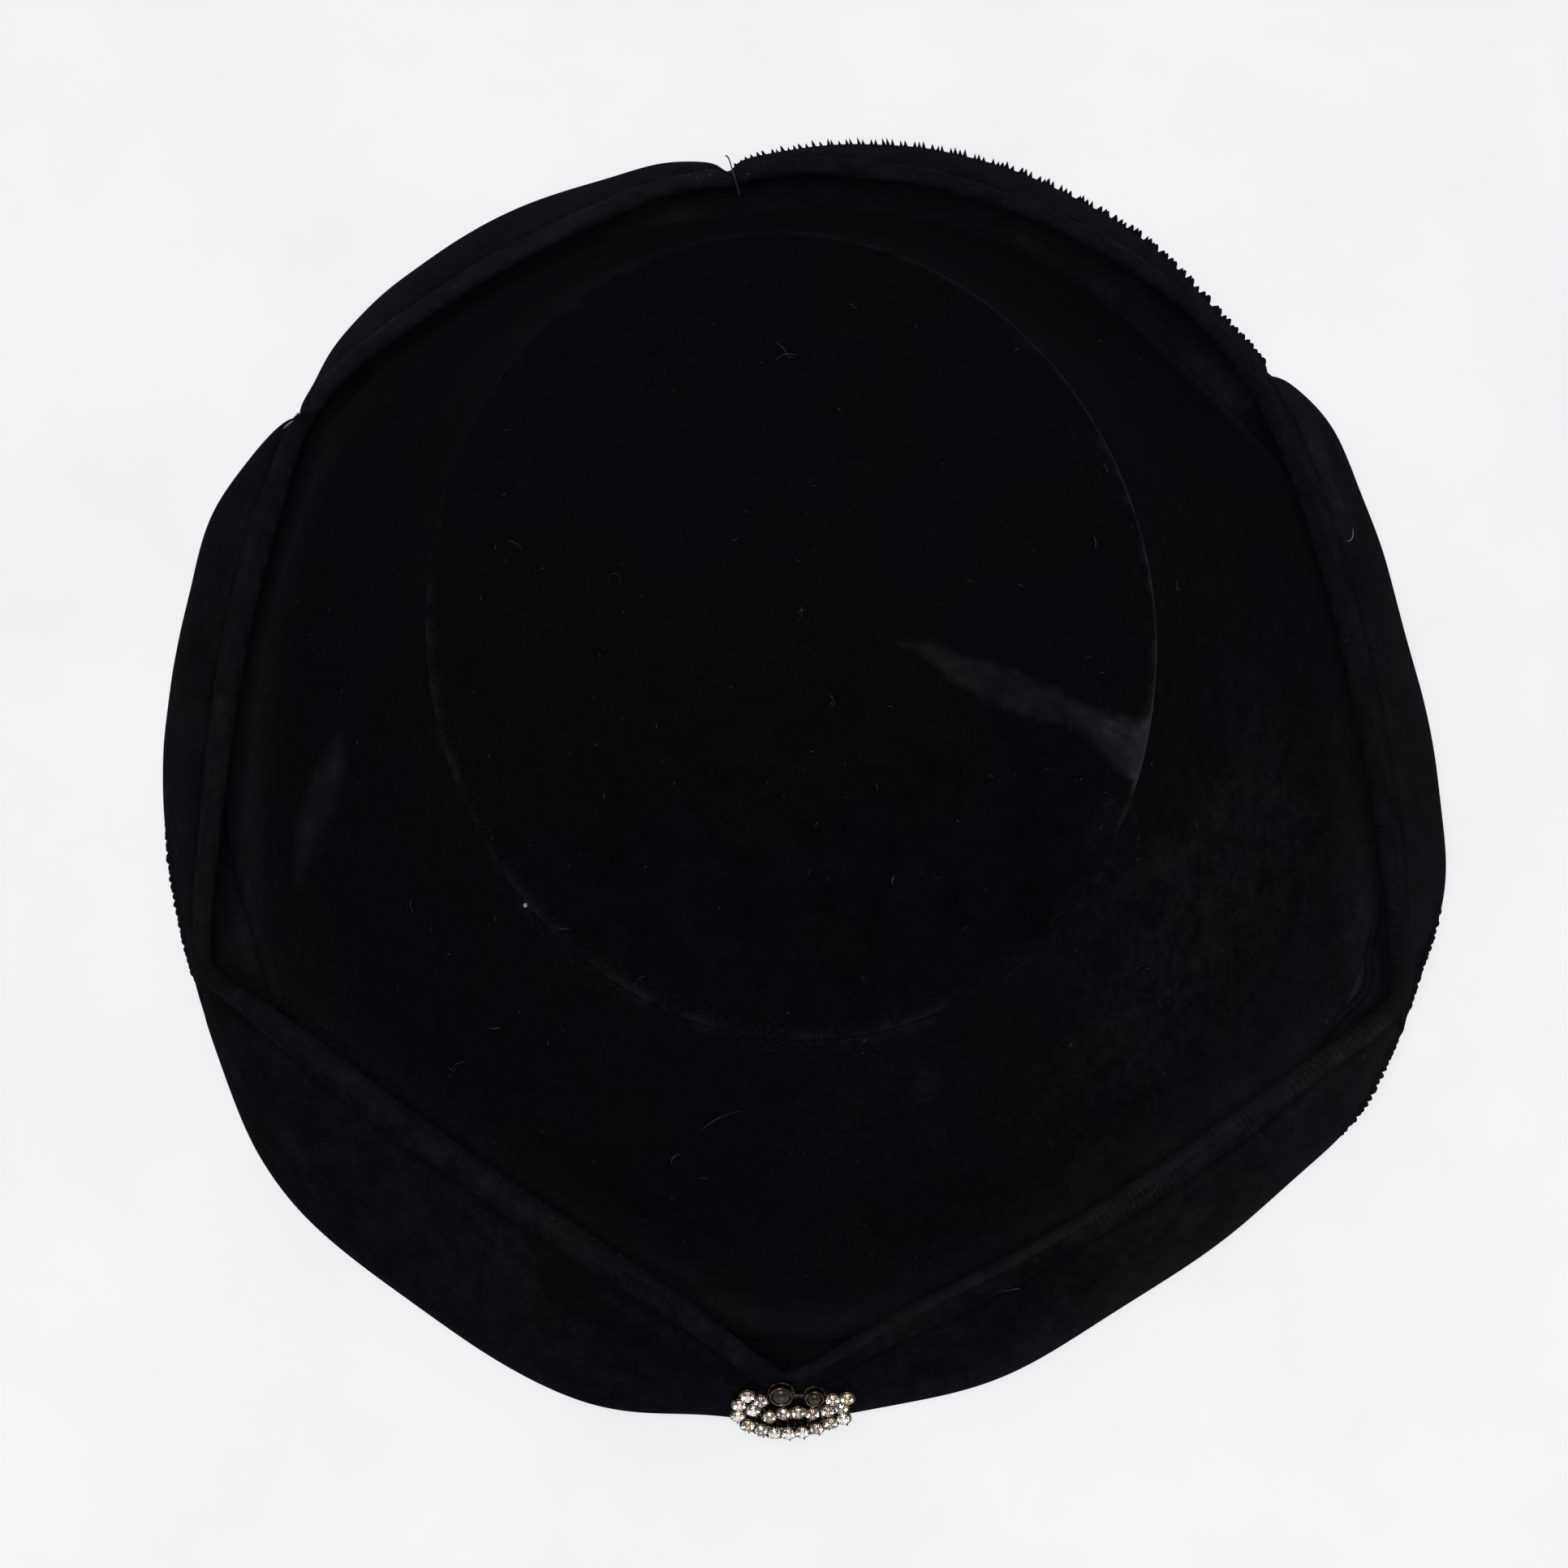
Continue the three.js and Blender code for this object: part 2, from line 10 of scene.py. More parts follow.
import bpy
import numpy as np
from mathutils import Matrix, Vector


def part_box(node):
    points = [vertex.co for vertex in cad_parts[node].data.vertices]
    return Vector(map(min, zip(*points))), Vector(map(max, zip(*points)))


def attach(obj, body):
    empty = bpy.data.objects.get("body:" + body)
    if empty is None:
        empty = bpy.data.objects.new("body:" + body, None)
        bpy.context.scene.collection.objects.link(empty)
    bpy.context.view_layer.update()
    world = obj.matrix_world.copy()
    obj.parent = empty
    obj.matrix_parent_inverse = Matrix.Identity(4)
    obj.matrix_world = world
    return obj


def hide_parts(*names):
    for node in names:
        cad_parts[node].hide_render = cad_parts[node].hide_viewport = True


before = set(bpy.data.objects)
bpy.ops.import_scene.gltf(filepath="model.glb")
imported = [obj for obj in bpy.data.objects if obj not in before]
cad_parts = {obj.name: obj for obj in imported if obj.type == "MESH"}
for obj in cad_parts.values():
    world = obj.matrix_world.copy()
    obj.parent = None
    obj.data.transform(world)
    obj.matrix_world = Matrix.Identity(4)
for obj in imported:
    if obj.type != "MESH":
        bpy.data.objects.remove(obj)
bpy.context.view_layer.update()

MM = 0.001

# Cloth
VELVET = 2.0
DOUBLED = 3.0
GAP = 0.3

# Crown
TIP_HEIGHT = 84.0
TIP_LONG = 87.0
TIP_SHORT = 74.2
TIP_TURN = 7.0
TIP_CENTRE = (-2.6, 4.7)
TIP_DOME = 4.0
SIDE_SAG = 2.5
RIM_ROLL = 5.8

# Under part and head opening
UNDER_HEIGHT = DOUBLED + GAP
HEAD_LONG = 95.0
HEAD_SHORT = 82.5
HEM_HEIGHT = 12.0
HEM_BEND = 3.0

# Turned-up panels
ROOT_RADIUS = 111.0
BASE_HEIGHT = 11.0
BASE_TURN = 11.5
EDGE_SET = 1.0
CREASE_DEPTH = 0.8
CREASE_WIDTH = 1.5
PUCKER_PITCH = 2.6
CORNER = 0.3

# Widest radius of the crown's folded rim: (angle, radius)
RIM = [(-90, 129.5), (-45, 129), (-18, 131), (12, 129), (43, 126.3), (80, 132.6), (98, 130.8),
       (145, 131.6), (195, 126.5), (230, 125.5)]

# Notches between the panels: angle, widest radius, the edge's radius and height
NOTCHES = [(-91.5, 147.8, 140.2, 26), (-25.8, 143.6, 139.4, 33), (39.6, 138.8, 127.6, 34),
           (97, 141, 129.2, 34), (146, 140.7, 130.4, 34), (203, 141.6, 137.4, 33),
           (268.5, 147.8, 140.2, 26)]
MIDDLE_HEIGHT = 38
# Panels: name, widest and edge radius in the middle, width of the roll, tones of face, roll and inside: the
# faces' tones differ by painted sheen, the roll's is a painted highlight, the inside's is painted light that
# lifts the shade between panel and crown
PANEL_ROWS = [("cuff_front_right", 141.3, 122.4, 5.8, (0.43, 0.50, 0.5)),
              ("cuff_right", 139, 117.9, 6.2, (0.43, 0.38, 0.5)),
              ("cuff_back_right", 146.8, 128, 5.2, (0.42, 0.46, 0.74)),
              ("cuff_back_left", 144.9, 123.9, 5.6, (0.47, 0.56, 0.9)),
              ("cuff_left", 140, 121.3, 6.4, (0.36, 0.41, 0.7)),
              ("cuff_front_left", 148.6, 117.9, 5.8, (0.29, 0.37, 0.5))]
PANELS = [{"name": name, "from": start[0], "to": end[0], "base": (start[1], base, end[1]),
           "edge": (start[2], edge, end[2]), "height": (start[3], MIDDLE_HEIGHT, end[3]),
           "roll": roll, "tones": tones, "seed": 50 + 10 * index}
          for index, ((name, base, edge, roll, tones), start, end)
          in enumerate(zip(PANEL_ROWS, NOTCHES[:-1], NOTCHES[1:]))]

# Soft swells and hollows of the widest line: (angle, spread, out)
SWELLS = [(-98, 6, -1.4), (-74, 8, 1.6), (-60, 10, -1.6), (-35, 6, 2.4), (-13, 7, 3), (11, 9, -2.6),
          (33, 6, 3.4), (48, 7, -2.8), (61, 8, -1.2), (84, 7, 1.1), (103, 5, 1.2), (144, 4, -2.6),
          (157, 6, 3.2), (184, 7, 0.4), (219, 8, 1.6), (236, 8, -1.6), (254, 8, 1.8)]

# Soft hollows of the crown's side: (angle, spread, part, reach, depth)
SIDE_FOLDS = [(174, 9, 0.4, 0.3, 2.4), (192, 8, 0.55, 0.3, -1.4), (-38, 12, 0.55, 0.35, 2.2),
              (-75, 14, 0.5, 0.35, 1.4), (62, 14, 0.45, 0.35, 1.6)]

# Where the crease under the rolled edge deepens: (angle, spread, depth)
PANEL_FOLDS = [(256, 8, 2.2), (207, 5, 0.8), (-35, 6, 0.8)]

# Where the pile of the rolled folds shows as ribs: (from, to, amount)
RIBBED = [(40, 97, 0.4), (-62, -27, 0.9), (-25, -8, 0.5), (-157, -100, 0.35), (-180, -158, 0.35)]

# Painted highlights and painted shade on the panels, in plan: start, end, their widths, softness, change
PANEL_LIGHT_AND_SHADE = {
    "cuff_front_left": [
        ([(-50.5, -120.5, 4.2), (-40, -129, 2.6), (-28, -136, 1.2), (-15, -139, 0.6)], 3.0, -0.6),
        ([(-66, -113, 5), (-54, -121, 4)], 6.0, 0.25),
        ([(-36, -117, 7), (-16, -128, 6)], 8.0, -0.3),
        ([(-124.2, -68.5, 0.7), (-118.7, -77.4, 0.7)], 1.2, 0.5),
        ([(-111.5, -84.4, 0.9), (-104.3, -94.9, 0.8)], 1.4, 0.45),
    ],
    "cuff_front_right": [
        ([(10, -133, 14), (34, -127, 13), (50, -117, 8)], 12.0, -0.42),
        ([(14, -123, 5), (40, -112, 5)], 8.0, -0.2),
        ([(58, -113, 8), (78, -98, 9), (98, -76, 6)], 12.0, -0.28),
    ],
    "cuff_right": [([(106, 84, 2.2), (110, 74, 3.2), (115, 60, 1.8), (118, 50, 0.8)], 2.4, 0.35)],
}

# Painted highlights on the lit slope of the tip's dent and on folds of the side, as strokes in plan: nodes
# (x, y, half width), softness, tone
DENT_HIGHLIGHTS = [
    ([(18.5, -1.0, 0.4), (24, -1.6, 1.0), (29, -4.0, 2.6), (35, -7.2, 4.0), (42, -10.0, 4.6),
      (48, -12.0, 4.2), (54, -14.2, 3.0), (59.5, -16.6, 3.9), (64, -19.3, 5.7), (70, -22.8, 7.6),
      (75, -25, 8.6)], 2.6, 0.40),
    ([(62, -18, 2.4), (70, -21.5, 5.0), (76, -23, 6.0)], 5.0, 0.2),
    ([(64, -25.6, 0.8), (68, -27.6, 2.4), (70, -30, 2.0)], 2.6, 0.3),
    ([(58, -42, 2.0), (63, -34, 2.6)], 3.5, 0.19),
]
# Painted highlights on folds of the crown's side
SIDE_HIGHLIGHTS = [
    ([(-97.3, -8, 1.4), (-100.4, -16, 3.8), (-103.3, -22.5, 4.2), (-106.2, -29.5, 2.0), (-107.7, -33, 0.5)],
     4.2, 0.37),
    ([(14, -86, 2.0), (24, -84, 5.0), (28, -92, 3.0)], 8.0, 0.07),
    ([(4, -100, 1.5), (9, -92, 3.0)], 6.0, 0.06),
    ([(62, -50, 1.5), (70, -45, 3.0), (78, -36, 2.0)], 4.0, 0.1),
]

# The tip's dent
DENT = {"inner": (24, 4), "outer": (72, -19), "inner_width": 4, "outer_width": 12, "depth": 4.5}

# Inner folds at the front side notches: half width, tone, depth and rise to the panel's wall,
# then (angle, radius, top height) along each
# The tone is painted light that lifts the fold's skirt out of its shade
TUCKS = [
    (1.9, 0.6, 3.5, 8.0, [
        (189.8, 126.4, 13), (191.9, 125.2, 13.5), (194.8, 124.6, 14), (198.0, 124.3, 14.5),
        (201.1, 124.6, 14.5), (203.9, 125.2, 14.5), (206.7, 126.2, 14), (209.1, 127.1, 13)]),
    (1.0, 0.9, 3.0, 9.0, [
        (348.5, 128.0, 12.5), (345.1, 129.2, 13), (341.7, 130.4, 13.5), (339.2, 130.9, 14),
        (337.5, 132.5, 14), (335.8, 132.9, 14), (334.3, 132.0, 13.5), (332.4, 130.2, 13),
        (329.9, 128.8, 12.5), (327.4, 127.1, 12)]),
]

# Stretches of longer pile over the outermost bend: panel, from, to, length of the teeth
FRINGES = [("cuff_back_right", 41, 96.5, 1.5), ("cuff_right", -25.3, -15, 1.0),
           ("cuff_front_right", -37, -26.2, 0.9), ("cuff_left", 187, 202.6, 0.8)]
FRINGE_PITCH = 1.35
FRINGE_ROWS = 7
FRINGE_HALF = 0.5

# Lint in plan, all of it small
SPECKS = [(69.6, -61), (5.7, -124.8), (62.6, 39), (119.3, -72.9), (-33.2, -70.9), (11, -83.6),
          (-73.6, -78.1), (10, 74.6), (48.9, 68.8), (-82, -47.3), (78, 17.1), (23.3, -49.7),
          (-72.4, -76.7), (-0.1, 4.4),
          (6.1, -14.8), (18.5, -53.1), (30.5, -60.6), (-3.8, 63)]
LINT_COUNT = 260
LINT_REACH = 122
FUZZ_COUNT = 900
# Hairs: place, the way they set out, length, turn, radius
HAIRS = [(-38, 12.8, 40, 6.0, 280, 0.1), (-3.8, 63, 100, 4.0, 60, 0.1), (-3.4, 62, 20, 3.5, -40, 0.1),
         (-21.7, -95, 62, 12.0, -35, 0.08), (41.5, -124.2, -50, 7.0, 25, 0.12),
         (71.1, -105.1, 35, 5.0, 60, 0.12), (-27, -100, 80, 4.0, -70, 0.1), (-66, -72, 10, 4.0, 30, 0.1),
         (-50, -60, -30, 3.0, 50, 0.1),
         (-58, 20, 120, 4.0, 60, 0.08), (-2, 2, 30, 4.0, 90, 0.09), (60, 20, 70, 3.0, 50, 0.08)]
# Pale threads: place, the way they set out, length, turn, radius
THREADS = [(-54.9, -54.9, 20, 0.9, 0, 0.5), (121.4, 46.0, 262, 6.5, -75, 0.07),
           (-113.2, 72.6, 200, 3.4, 60, 0.18), (-112.0, 70.0, 170, 2.6, -50, 0.16),
           (-111.0, 72.0, 120, 2.4, 70, 0.16)]
TACK = [(-17.0, 133.0, 33.5), (-16.3, 131.0, 36.0), (-15.4, 127.8, 36.2), (-13.9, 123.4, 33.5)]
STITCHES = [(-24.5, 126.9), (-22.9, 127.2), (-21.3, 127.1), (-19.8, 127.0), (-12.6, 126.8),
            (118.6, -57.6), (119.6, -56.0), (120.3, -54.2), (113.0, -62.6)]

# Brooch, in its own plane: u to the right, v up, w out from the cloth
BROOCH_CENTRE = (-2.5, -146.65, 23.1)
BROOCH_LEAN = 40.0
STONE = 1.35
CULET = 0.95
PAVILION = 1.25
GIRDLE = 0.12
GIRDLE_LOW = CULET + PAVILION
STONE_TOP = GIRDLE_LOW + GIRDLE
TABLE_RISE = 0.45
TABLE_RADIUS = 0.85
CABOCHON_FLOOR = 1.0
CABOCHON_WALL = 0.7
CABOCHON_RISE = 1.1
PIN = {"radius": 0.45, "half": 8.5, "v": 3.6, "depth": 1.1}
# Rows of stones: how many, and three places of the arc through them
ROWS = [(7, (-9.0, -1.9), (-0.6, -4.1), (8.2, -1.2)), (4, (-4.5, 0.5), (-0.1, 1.5), (4.4, 1.3))]
FANS = [(-11.0, 0.7), (-10.7, 3.6), (-9.0, 6.0), (-7.9, 2.2), (-6.3, 4.7),
        (7.5, 2.0), (10.3, 2.8), (10.8, 0.0), (8.5, 5.1), (11.4, 5.4)]
# Round stones: name, place, their radius and their bezel's
CABOCHONS = [("cabochon_left", -2.1, 5.9, 1.9, 2.5), ("cabochon_right", 4.8, 5.3, 1.5, 2.1)]
LINKS = [((-6.2, -3.2), (-4.5, 0.5)), ((-0.4, -4.1), (-1.5, 1.2)), ((5.3, -2.4), (4.4, 1.3)),
         ((-9.0, -1.9), (-7.9, 2.2)), ((-7.9, 2.2), (-4.5, 0.5)), ((-2.1, 5.9), (-1.5, 1.2)),
         ((4.8, 5.3), (4.4, 1.3)), ((4.4, 1.3), (7.5, 2.0))]

# Columns of the meshes round the tip, the side, the under part, and along a panel
TIP_STEPS, SIDE_STEPS, UNDER_STEPS, PANEL_STEPS = 300, 400, 300, 190
# Rows of the tip's upper face, round its edge and of its lower face; of the side and its folded rim
TIP_ROWS, EDGE_ROWS, LOWER_ROWS, SIDE_ROWS, RIM_ROWS = 64, 11, 14, 60, 22
# Rows of the under part's face, its bend and its hem
UNDER_ROWS, BEND_ROWS, HEM_ROWS = 22, 10, 14

# How pale the pile looks, from 0 to 1; the tones also carry painted light and shade
TIP_TONE = 0.13
INSIDE_TONE = 0.05
# Painted light on the crown's side that lifts the shade the panels cast: towards the rim, and beside the
# rolled edges
LOW_PAINTED_LIGHT = 0.24
SHADE_PAINTED_LIGHT = 0.22
# Tip seam's pale line, a painted highlight where it is crisp and pale pile fuzz where it is frayed: (angle,
# tone, width of the line)
SEAM_TONES = [(-180, 0.42, 2.5), (-168, 0.42, 2.3), (-155, 0.42, 1.9), (-135, 0.45, 2.0), (-115, 0.42, 2.8),
              (-89, 0.42, 3.0), (-66, 0.3, 2.4), (-52, 0.05, 1.8), (-41, 0.3, 1.8), (-33, 0.4, 1.0),
              (-22, 0.78, 0.88), (-4, 0.9, 0.89), (20, 0.84, 0.89), (55, 0.74, 0.88), (86, 0.5, 0.95),
              (100, 0.3, 1.2), (120, 0.2, 2.0), (134, 0.12, 2.0), (150, 0.1, 1.2), (168, 0.35, 1.4),
              (180, 0.42, 2.5)]
# A line at least this wide is frayed pile, a narrower one is a crisp painted highlight; on the side the line
# is dimmer
FRAYED = 0.9
SIDE_SEAM = 0.62
# Crown's side: (angle, tone); the paler right side is painted sheen
SIDE_TONES = [(-180, 0.1), (-150, 0.1), (-120, 0.09), (-95, 0.11), (-70, 0.16), (-50, 0.28), (-20, 0.31),
              (10, 0.24), (50, 0.13), (90, 0.11), (130, 0.1), (180, 0.1)]
# Where the pile is crushed: middle in plan, reach both ways, amount
CRUSHED = [(98, -24, 24, 26, 0.75), (74, -57, 22, 20, 0.7), (60, -88, 16, 18, 0.5), (16, -90, 18, 12, 0.45),
           (70, 30, 24, 30, 0.15), (-70, 70, 30, 24, 0.12), (-60, -95, 26, 16, 0.12)]
# Painted light in soft pale patches low on the side: angle, spread, height, reach, tone
SIDE_PAINTED_LIGHTS = [(-91, 14, 15, 3.2, 0.18), (172, 22, 44, 12, 0.04), (-116, 26, 22, 9, 0.07),
             (27, 20, 22, 13, 0.07)]
# The painted highlight along the crown's folded rim: (angle, tone)
RIM_HIGHLIGHTS = [(-180, 0.05), (-150, 0.0), (-60, 0.0), (0, 0.04), (30, 0.14), (40, 0.5), (56, 0.5), (66, 0.4),
            (92, 0.36), (110, 0.3), (134, 0.26), (150, 0.24), (165, 0.1), (180, 0.05)]


def lerp(a, b, t):
    return a + (b - a) * t


def smooth(x):
    t = np.clip(x, 0.0, 1.0)
    return t * t * (3 - 2 * t)


def at(angle, radius, height):
    turned = np.radians(angle)
    radius, height = np.broadcast_arrays(radius, height)
    return np.stack([radius * np.cos(turned), radius * np.sin(turned), height], axis=-1)


def polar(u, v, radius, angle):
    return u + radius * math.cos(angle), v + radius * math.sin(angle)


def hump(x, centre, spread):
    return np.exp(-(((x - centre) / spread) ** 2))


def nearness(angle, centre, spread):
    return hump((angle - centre + 180) % 360 - 180, 0, spread)


def around(rows, angle, column=1):
    """Value from a table of rows that start with their angle."""
    turned = (angle + 180) % 360 - 180
    return np.interp(turned, [row[0] for row in rows], [row[column] for row in rows])


# A fixed turn of the noise's grid, so that no fold lines up with it
SPIN = np.array([[0.36, 0.48, -0.80], [-0.80, 0.60, 0.00], [0.48, 0.64, 0.60]])


def noise(points, size, seed):
    """Soft random values from -1 to 1 that vary over a distance of about size."""
    q = points @ SPIN / size + seed * 17.31
    cell = np.floor(q).astype(np.int64)
    part = q - cell
    part = part * part * (3 - 2 * part)
    total = 0.0
    for corner in range(8):
        step = np.array([corner & 1, (corner >> 1) & 1, (corner >> 2) & 1])
        key = cell + step
        code = key[..., 0] * 73856093 ^ key[..., 1] * 19349663 ^ key[..., 2] * 83492791 ^ (seed * 2654435)
        code = (code ^ (code >> 13)) * 1274126177 & 0xFFFFFFF
        value = ((code ^ (code >> 11)) & 0xFFFF) / 32767.5 - 1
        weight = np.prod(np.where(step == 1, part, 1 - part), axis=-1)
        total = total + value * weight
    return total


def oval_radius(angle, short, long, turn, centre):
    """Distance from the origin to a turned oval round another centre."""
    turned = np.radians(angle - turn)
    dx = np.cos(turned) / short
    dy = np.sin(turned) / long
    back = math.radians(-turn)
    cx = (centre[0] * math.cos(back) - centre[1] * math.sin(back)) / short
    cy = (centre[0] * math.sin(back) + centre[1] * math.cos(back)) / long
    a = dx * dx + dy * dy
    b = dx * cx + dy * cy
    c = cx * cx + cy * cy - 1
    return (b + np.sqrt(b * b - a * c)) / a


def tip_radius(angle):
    return oval_radius(angle, TIP_SHORT, TIP_LONG, TIP_TURN, TIP_CENTRE)


def head_radius(angle):
    return oval_radius(angle, HEAD_SHORT, HEAD_LONG, 0, (0, 0))


def rim_radius(angle):
    stations = np.array([a for a, _ in RIM] + [RIM[0][0] + 360.0])
    radii = np.array([r for _, r in RIM] + [RIM[0][1]], float)
    turned = (angle - stations[0]) % 360 + stations[0]
    index = np.clip(np.searchsorted(stations, turned, side="right") - 1, 0, len(RIM) - 1)
    part = (turned - stations[index]) / (stations[index + 1] - stations[index])
    return lerp(radii[index], radii[index + 1], smooth(part))


def part_along(panel, angle):
    return (angle - panel["from"]) / (panel["to"] - panel["from"])


def bowed(panel, radii, angle):
    """Radius along a panel: a straight chord between its ends, bowed out to its middle."""
    start, middle, end = radii
    span = math.radians(panel["to"] - panel["from"])

    def chord(part):
        bottom = start * np.sin(part * span) + end * np.sin((1 - part) * span)
        return start * end * math.sin(span) / bottom

    part = part_along(panel, angle)
    return chord(part) + (middle - chord(0.5)) * 4 * part * (1 - part)


def swell(angle):
    return sum(out * nearness(angle, centre, spread) for centre, spread, out in SWELLS)


def side_fold(angle, part):
    return sum(depth * nearness(angle, centre, spread) * hump(part, place, reach)
               for centre, spread, place, reach, depth in SIDE_FOLDS)


def crease_depth(angle):
    return CREASE_DEPTH + sum(depth * nearness(angle, centre, spread)
                              for centre, spread, depth in PANEL_FOLDS)


def edge_height(panel, angle):
    part = part_along(panel, angle)
    start, middle, end = panel["height"]
    near = np.where(part < 0.5, start, end)
    outer = (np.abs(2 * part - 1) - (1 - CORNER)) / CORNER
    return lerp(middle, near, smooth(outer))


def dent_depth(x, y):
    """Depth of the tip's dent, from the places along and across it."""
    ix, iy = DENT["inner"]
    ax, ay = DENT["outer"][0] - ix, DENT["outer"][1] - iy
    length = math.hypot(ax, ay)
    ax, ay = ax / length, ay / length
    along = ((x - ix) * ax + (y - iy) * ay) / length
    across = (y - iy) * ax - (x - ix) * ay
    width = lerp(DENT["inner_width"], DENT["outer_width"], np.clip(along, 0, 1))
    fade = smooth(along / 0.3) * (1 - 0.75 * smooth((along - 0.75) / 0.25))
    return DENT["depth"] * fade * hump(across, 0, width)


def seam_height(angle):
    outer, inner = (at(angle, tip_radius(angle) - inset, 0.0) for inset in (0, VELVET))
    return TIP_HEIGHT - np.maximum(dent_depth(outer[..., 0], outer[..., 1]),
                                   dent_depth(inner[..., 0], inner[..., 1]))


def tip_point(angle, part, drop):
    """Point of the tip at a part of the way to its seam, drop below its upper face."""
    edge = at(angle, tip_radius(angle), 0.0)
    x = lerp(TIP_CENTRE[0], edge[..., 0], part)
    y = lerp(TIP_CENTRE[1], edge[..., 1], part)
    z = TIP_HEIGHT + TIP_DOME * (1 - part ** 3) - dent_depth(x, y) - drop
    return np.stack([x, y, z], axis=-1)


def frame_shift():
    """The frame's origin is the middle of the whole hat's box: it is found from where the tip lies."""
    outline = tip_point(np.arange(48) * 7.5, 1.0, 0.0)
    low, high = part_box("crown_tip")
    middle = [(low[k] + high[k]) / 2 / MM - (outline[:, k].min() + outline[:, k].max()) / 2 for k in (0, 1)]
    return np.array([*middle, 0.0])


SHIFT = frame_shift()


def linked(name, data):
    obj = bpy.data.objects.new(name, data)
    bpy.context.scene.collection.objects.link(obj)
    return obj


def add_mesh(name, points, faces, material, values=None, flat=False):
    """Mesh object from points in the hat's frame; values are named numbers at its points."""
    mesh = bpy.data.meshes.new(name)
    mesh.from_pydata(((points.reshape(-1, 3) + SHIFT) * MM).tolist(), [], faces)
    mesh.update()
    for key, numbers in (values or {}).items():
        attribute = mesh.attributes.new(key, "FLOAT", "POINT")
        attribute.data.foreach_set("value", np.asarray(numbers, np.float32).ravel())
    if not flat:
        mesh.shade_smooth()
    mesh.materials.append(material)
    return linked(name, mesh)


def placed(obj, slot, *nodes):
    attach(obj, "root")
    if nodes:
        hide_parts(*nodes)


def dressed(node, points, faces, values):
    """The velvet of one of the part's nodes."""
    placed(add_mesh(node + "_velvet", points, faces, velvet, values), "velvet", node)


def quads(net, ring_rows, ring_columns):
    """Faces of a net of points, closed along its rows, its columns or both."""
    rows, columns = net.shape[:2]
    i = np.arange(rows if ring_rows else rows - 1)[:, None]
    j = np.arange(columns if ring_columns else columns - 1)[None, :]
    i2 = (i + 1) % rows * columns
    j2 = (j + 1) % columns
    i = i * columns
    return np.stack([i + j, i + j2, i2 + j2, i2 + j], axis=-1).reshape(-1, 4).tolist()


def capped(net, first, last):
    """Points and faces of a body through rings of points, with a pole at either end."""
    rows, sides = net.shape[:2]
    points = np.concatenate([net.reshape(-1, 3), [first, last]])
    faces = quads(net, False, True)
    end = (rows - 1) * sides
    for i in range(sides):
        n = (i + 1) % sides
        faces += [(end + sides, n, i), (end + sides + 1, end + i, end + n)]
    return points, faces


def normals_of(line):
    along = np.gradient(line, axis=1)
    along /= np.linalg.norm(along, axis=2, keepdims=True)
    return np.stack([-along[..., 1], along[..., 0]], axis=-1), along


NOSE = 7


def wall_net(angles, line, outer, inner):
    """Closed wall round middle lines of (radius, height), with a round nose at each end."""
    normal, along = normals_of(line)
    left = line + normal * np.broadcast_to(outer, line.shape[:2])[..., None]
    right = line - normal * np.broadcast_to(inner, line.shape[:2])[..., None]
    turns = np.pi * np.arange(1, NOSE + 1)[None, :, None] / (NOSE + 1)

    def nose(end, sign):
        middle = (left[:, end] + right[:, end])[:, None] / 2
        half = (left[:, end] - right[:, end])[:, None] / 2
        out = sign * along[:, end][:, None] * np.linalg.norm(half, axis=2, keepdims=True)
        return middle + np.cos(turns) * half * sign + np.sin(turns) * out

    loops = np.concatenate([left, nose(-1, 1), right[:, ::-1], nose(0, -1)], axis=1)
    return at(angles[:, None], loops[..., 0], loops[..., 1])


def crown_tip():
    angles = np.arange(TIP_STEPS) * 360 / TIP_STEPS
    reach = tip_radius(angles)
    edge_part = 1 - VELVET / 2 / reach
    rows = [tip_point(angles, edge_part * (1 - (1 - k) ** 1.3), 0.0) for k in np.linspace(0, 1, TIP_ROWS)[1:]]
    top = len(rows)
    rim_mid = tip_point(angles, edge_part, VELVET / 2)
    rows += [rim_mid + at(angles, np.full(TIP_STEPS, math.cos(turn)), math.sin(turn))
             for turn in np.radians(np.linspace(90, -90, EDGE_ROWS))[1:-1]]
    lit = len(rows)
    rows += [tip_point(angles, edge_part * k, VELVET) for k in np.linspace(1, 0, LOWER_ROWS)[:-1]]
    net = np.stack(rows)
    ripple = 0.35 * noise(net, 34, 1) + 0.12 * noise(net, 11, 2)
    net[..., 2] += ripple * smooth((reach[None] - np.linalg.norm(net[..., :2], axis=2)) / 12)
    points, faces = capped(net, tip_point(0.0, 0.0, 0.0), tip_point(0.0, 0.0, VELVET))
    values = {"pile_tone_and_light": np.append(tip_tone(net, angles, lit), [TIP_TONE, 0.1]),
              "cool": np.append(cool(net), [0.4, 0.4]),
              "crush": np.append(0.6 * crushed_share(net), [0.1, 0.1])}
    dressed("crown_tip", points, [face[::-1] for face in faces], values)
    return net[:top]


def cool(points):
    """How much the pile's black leans to violet: less at the right and in the middle."""
    value = 0.72 - 0.42 * smooth((points[..., 0] - 20) / 90) * smooth((40 - points[..., 1]) / 60)
    value = value - 0.4 * smooth(1.2 - np.linalg.norm(points[..., :2], axis=-1) / 60)
    return np.clip(value + 0.75 * noise(points, 26, 5) + 0.35 * noise(points, 8, 15), 0, 1)


def seam_tone(angles):
    return around(SEAM_TONES, angles), around(SEAM_TONES, angles, 2)


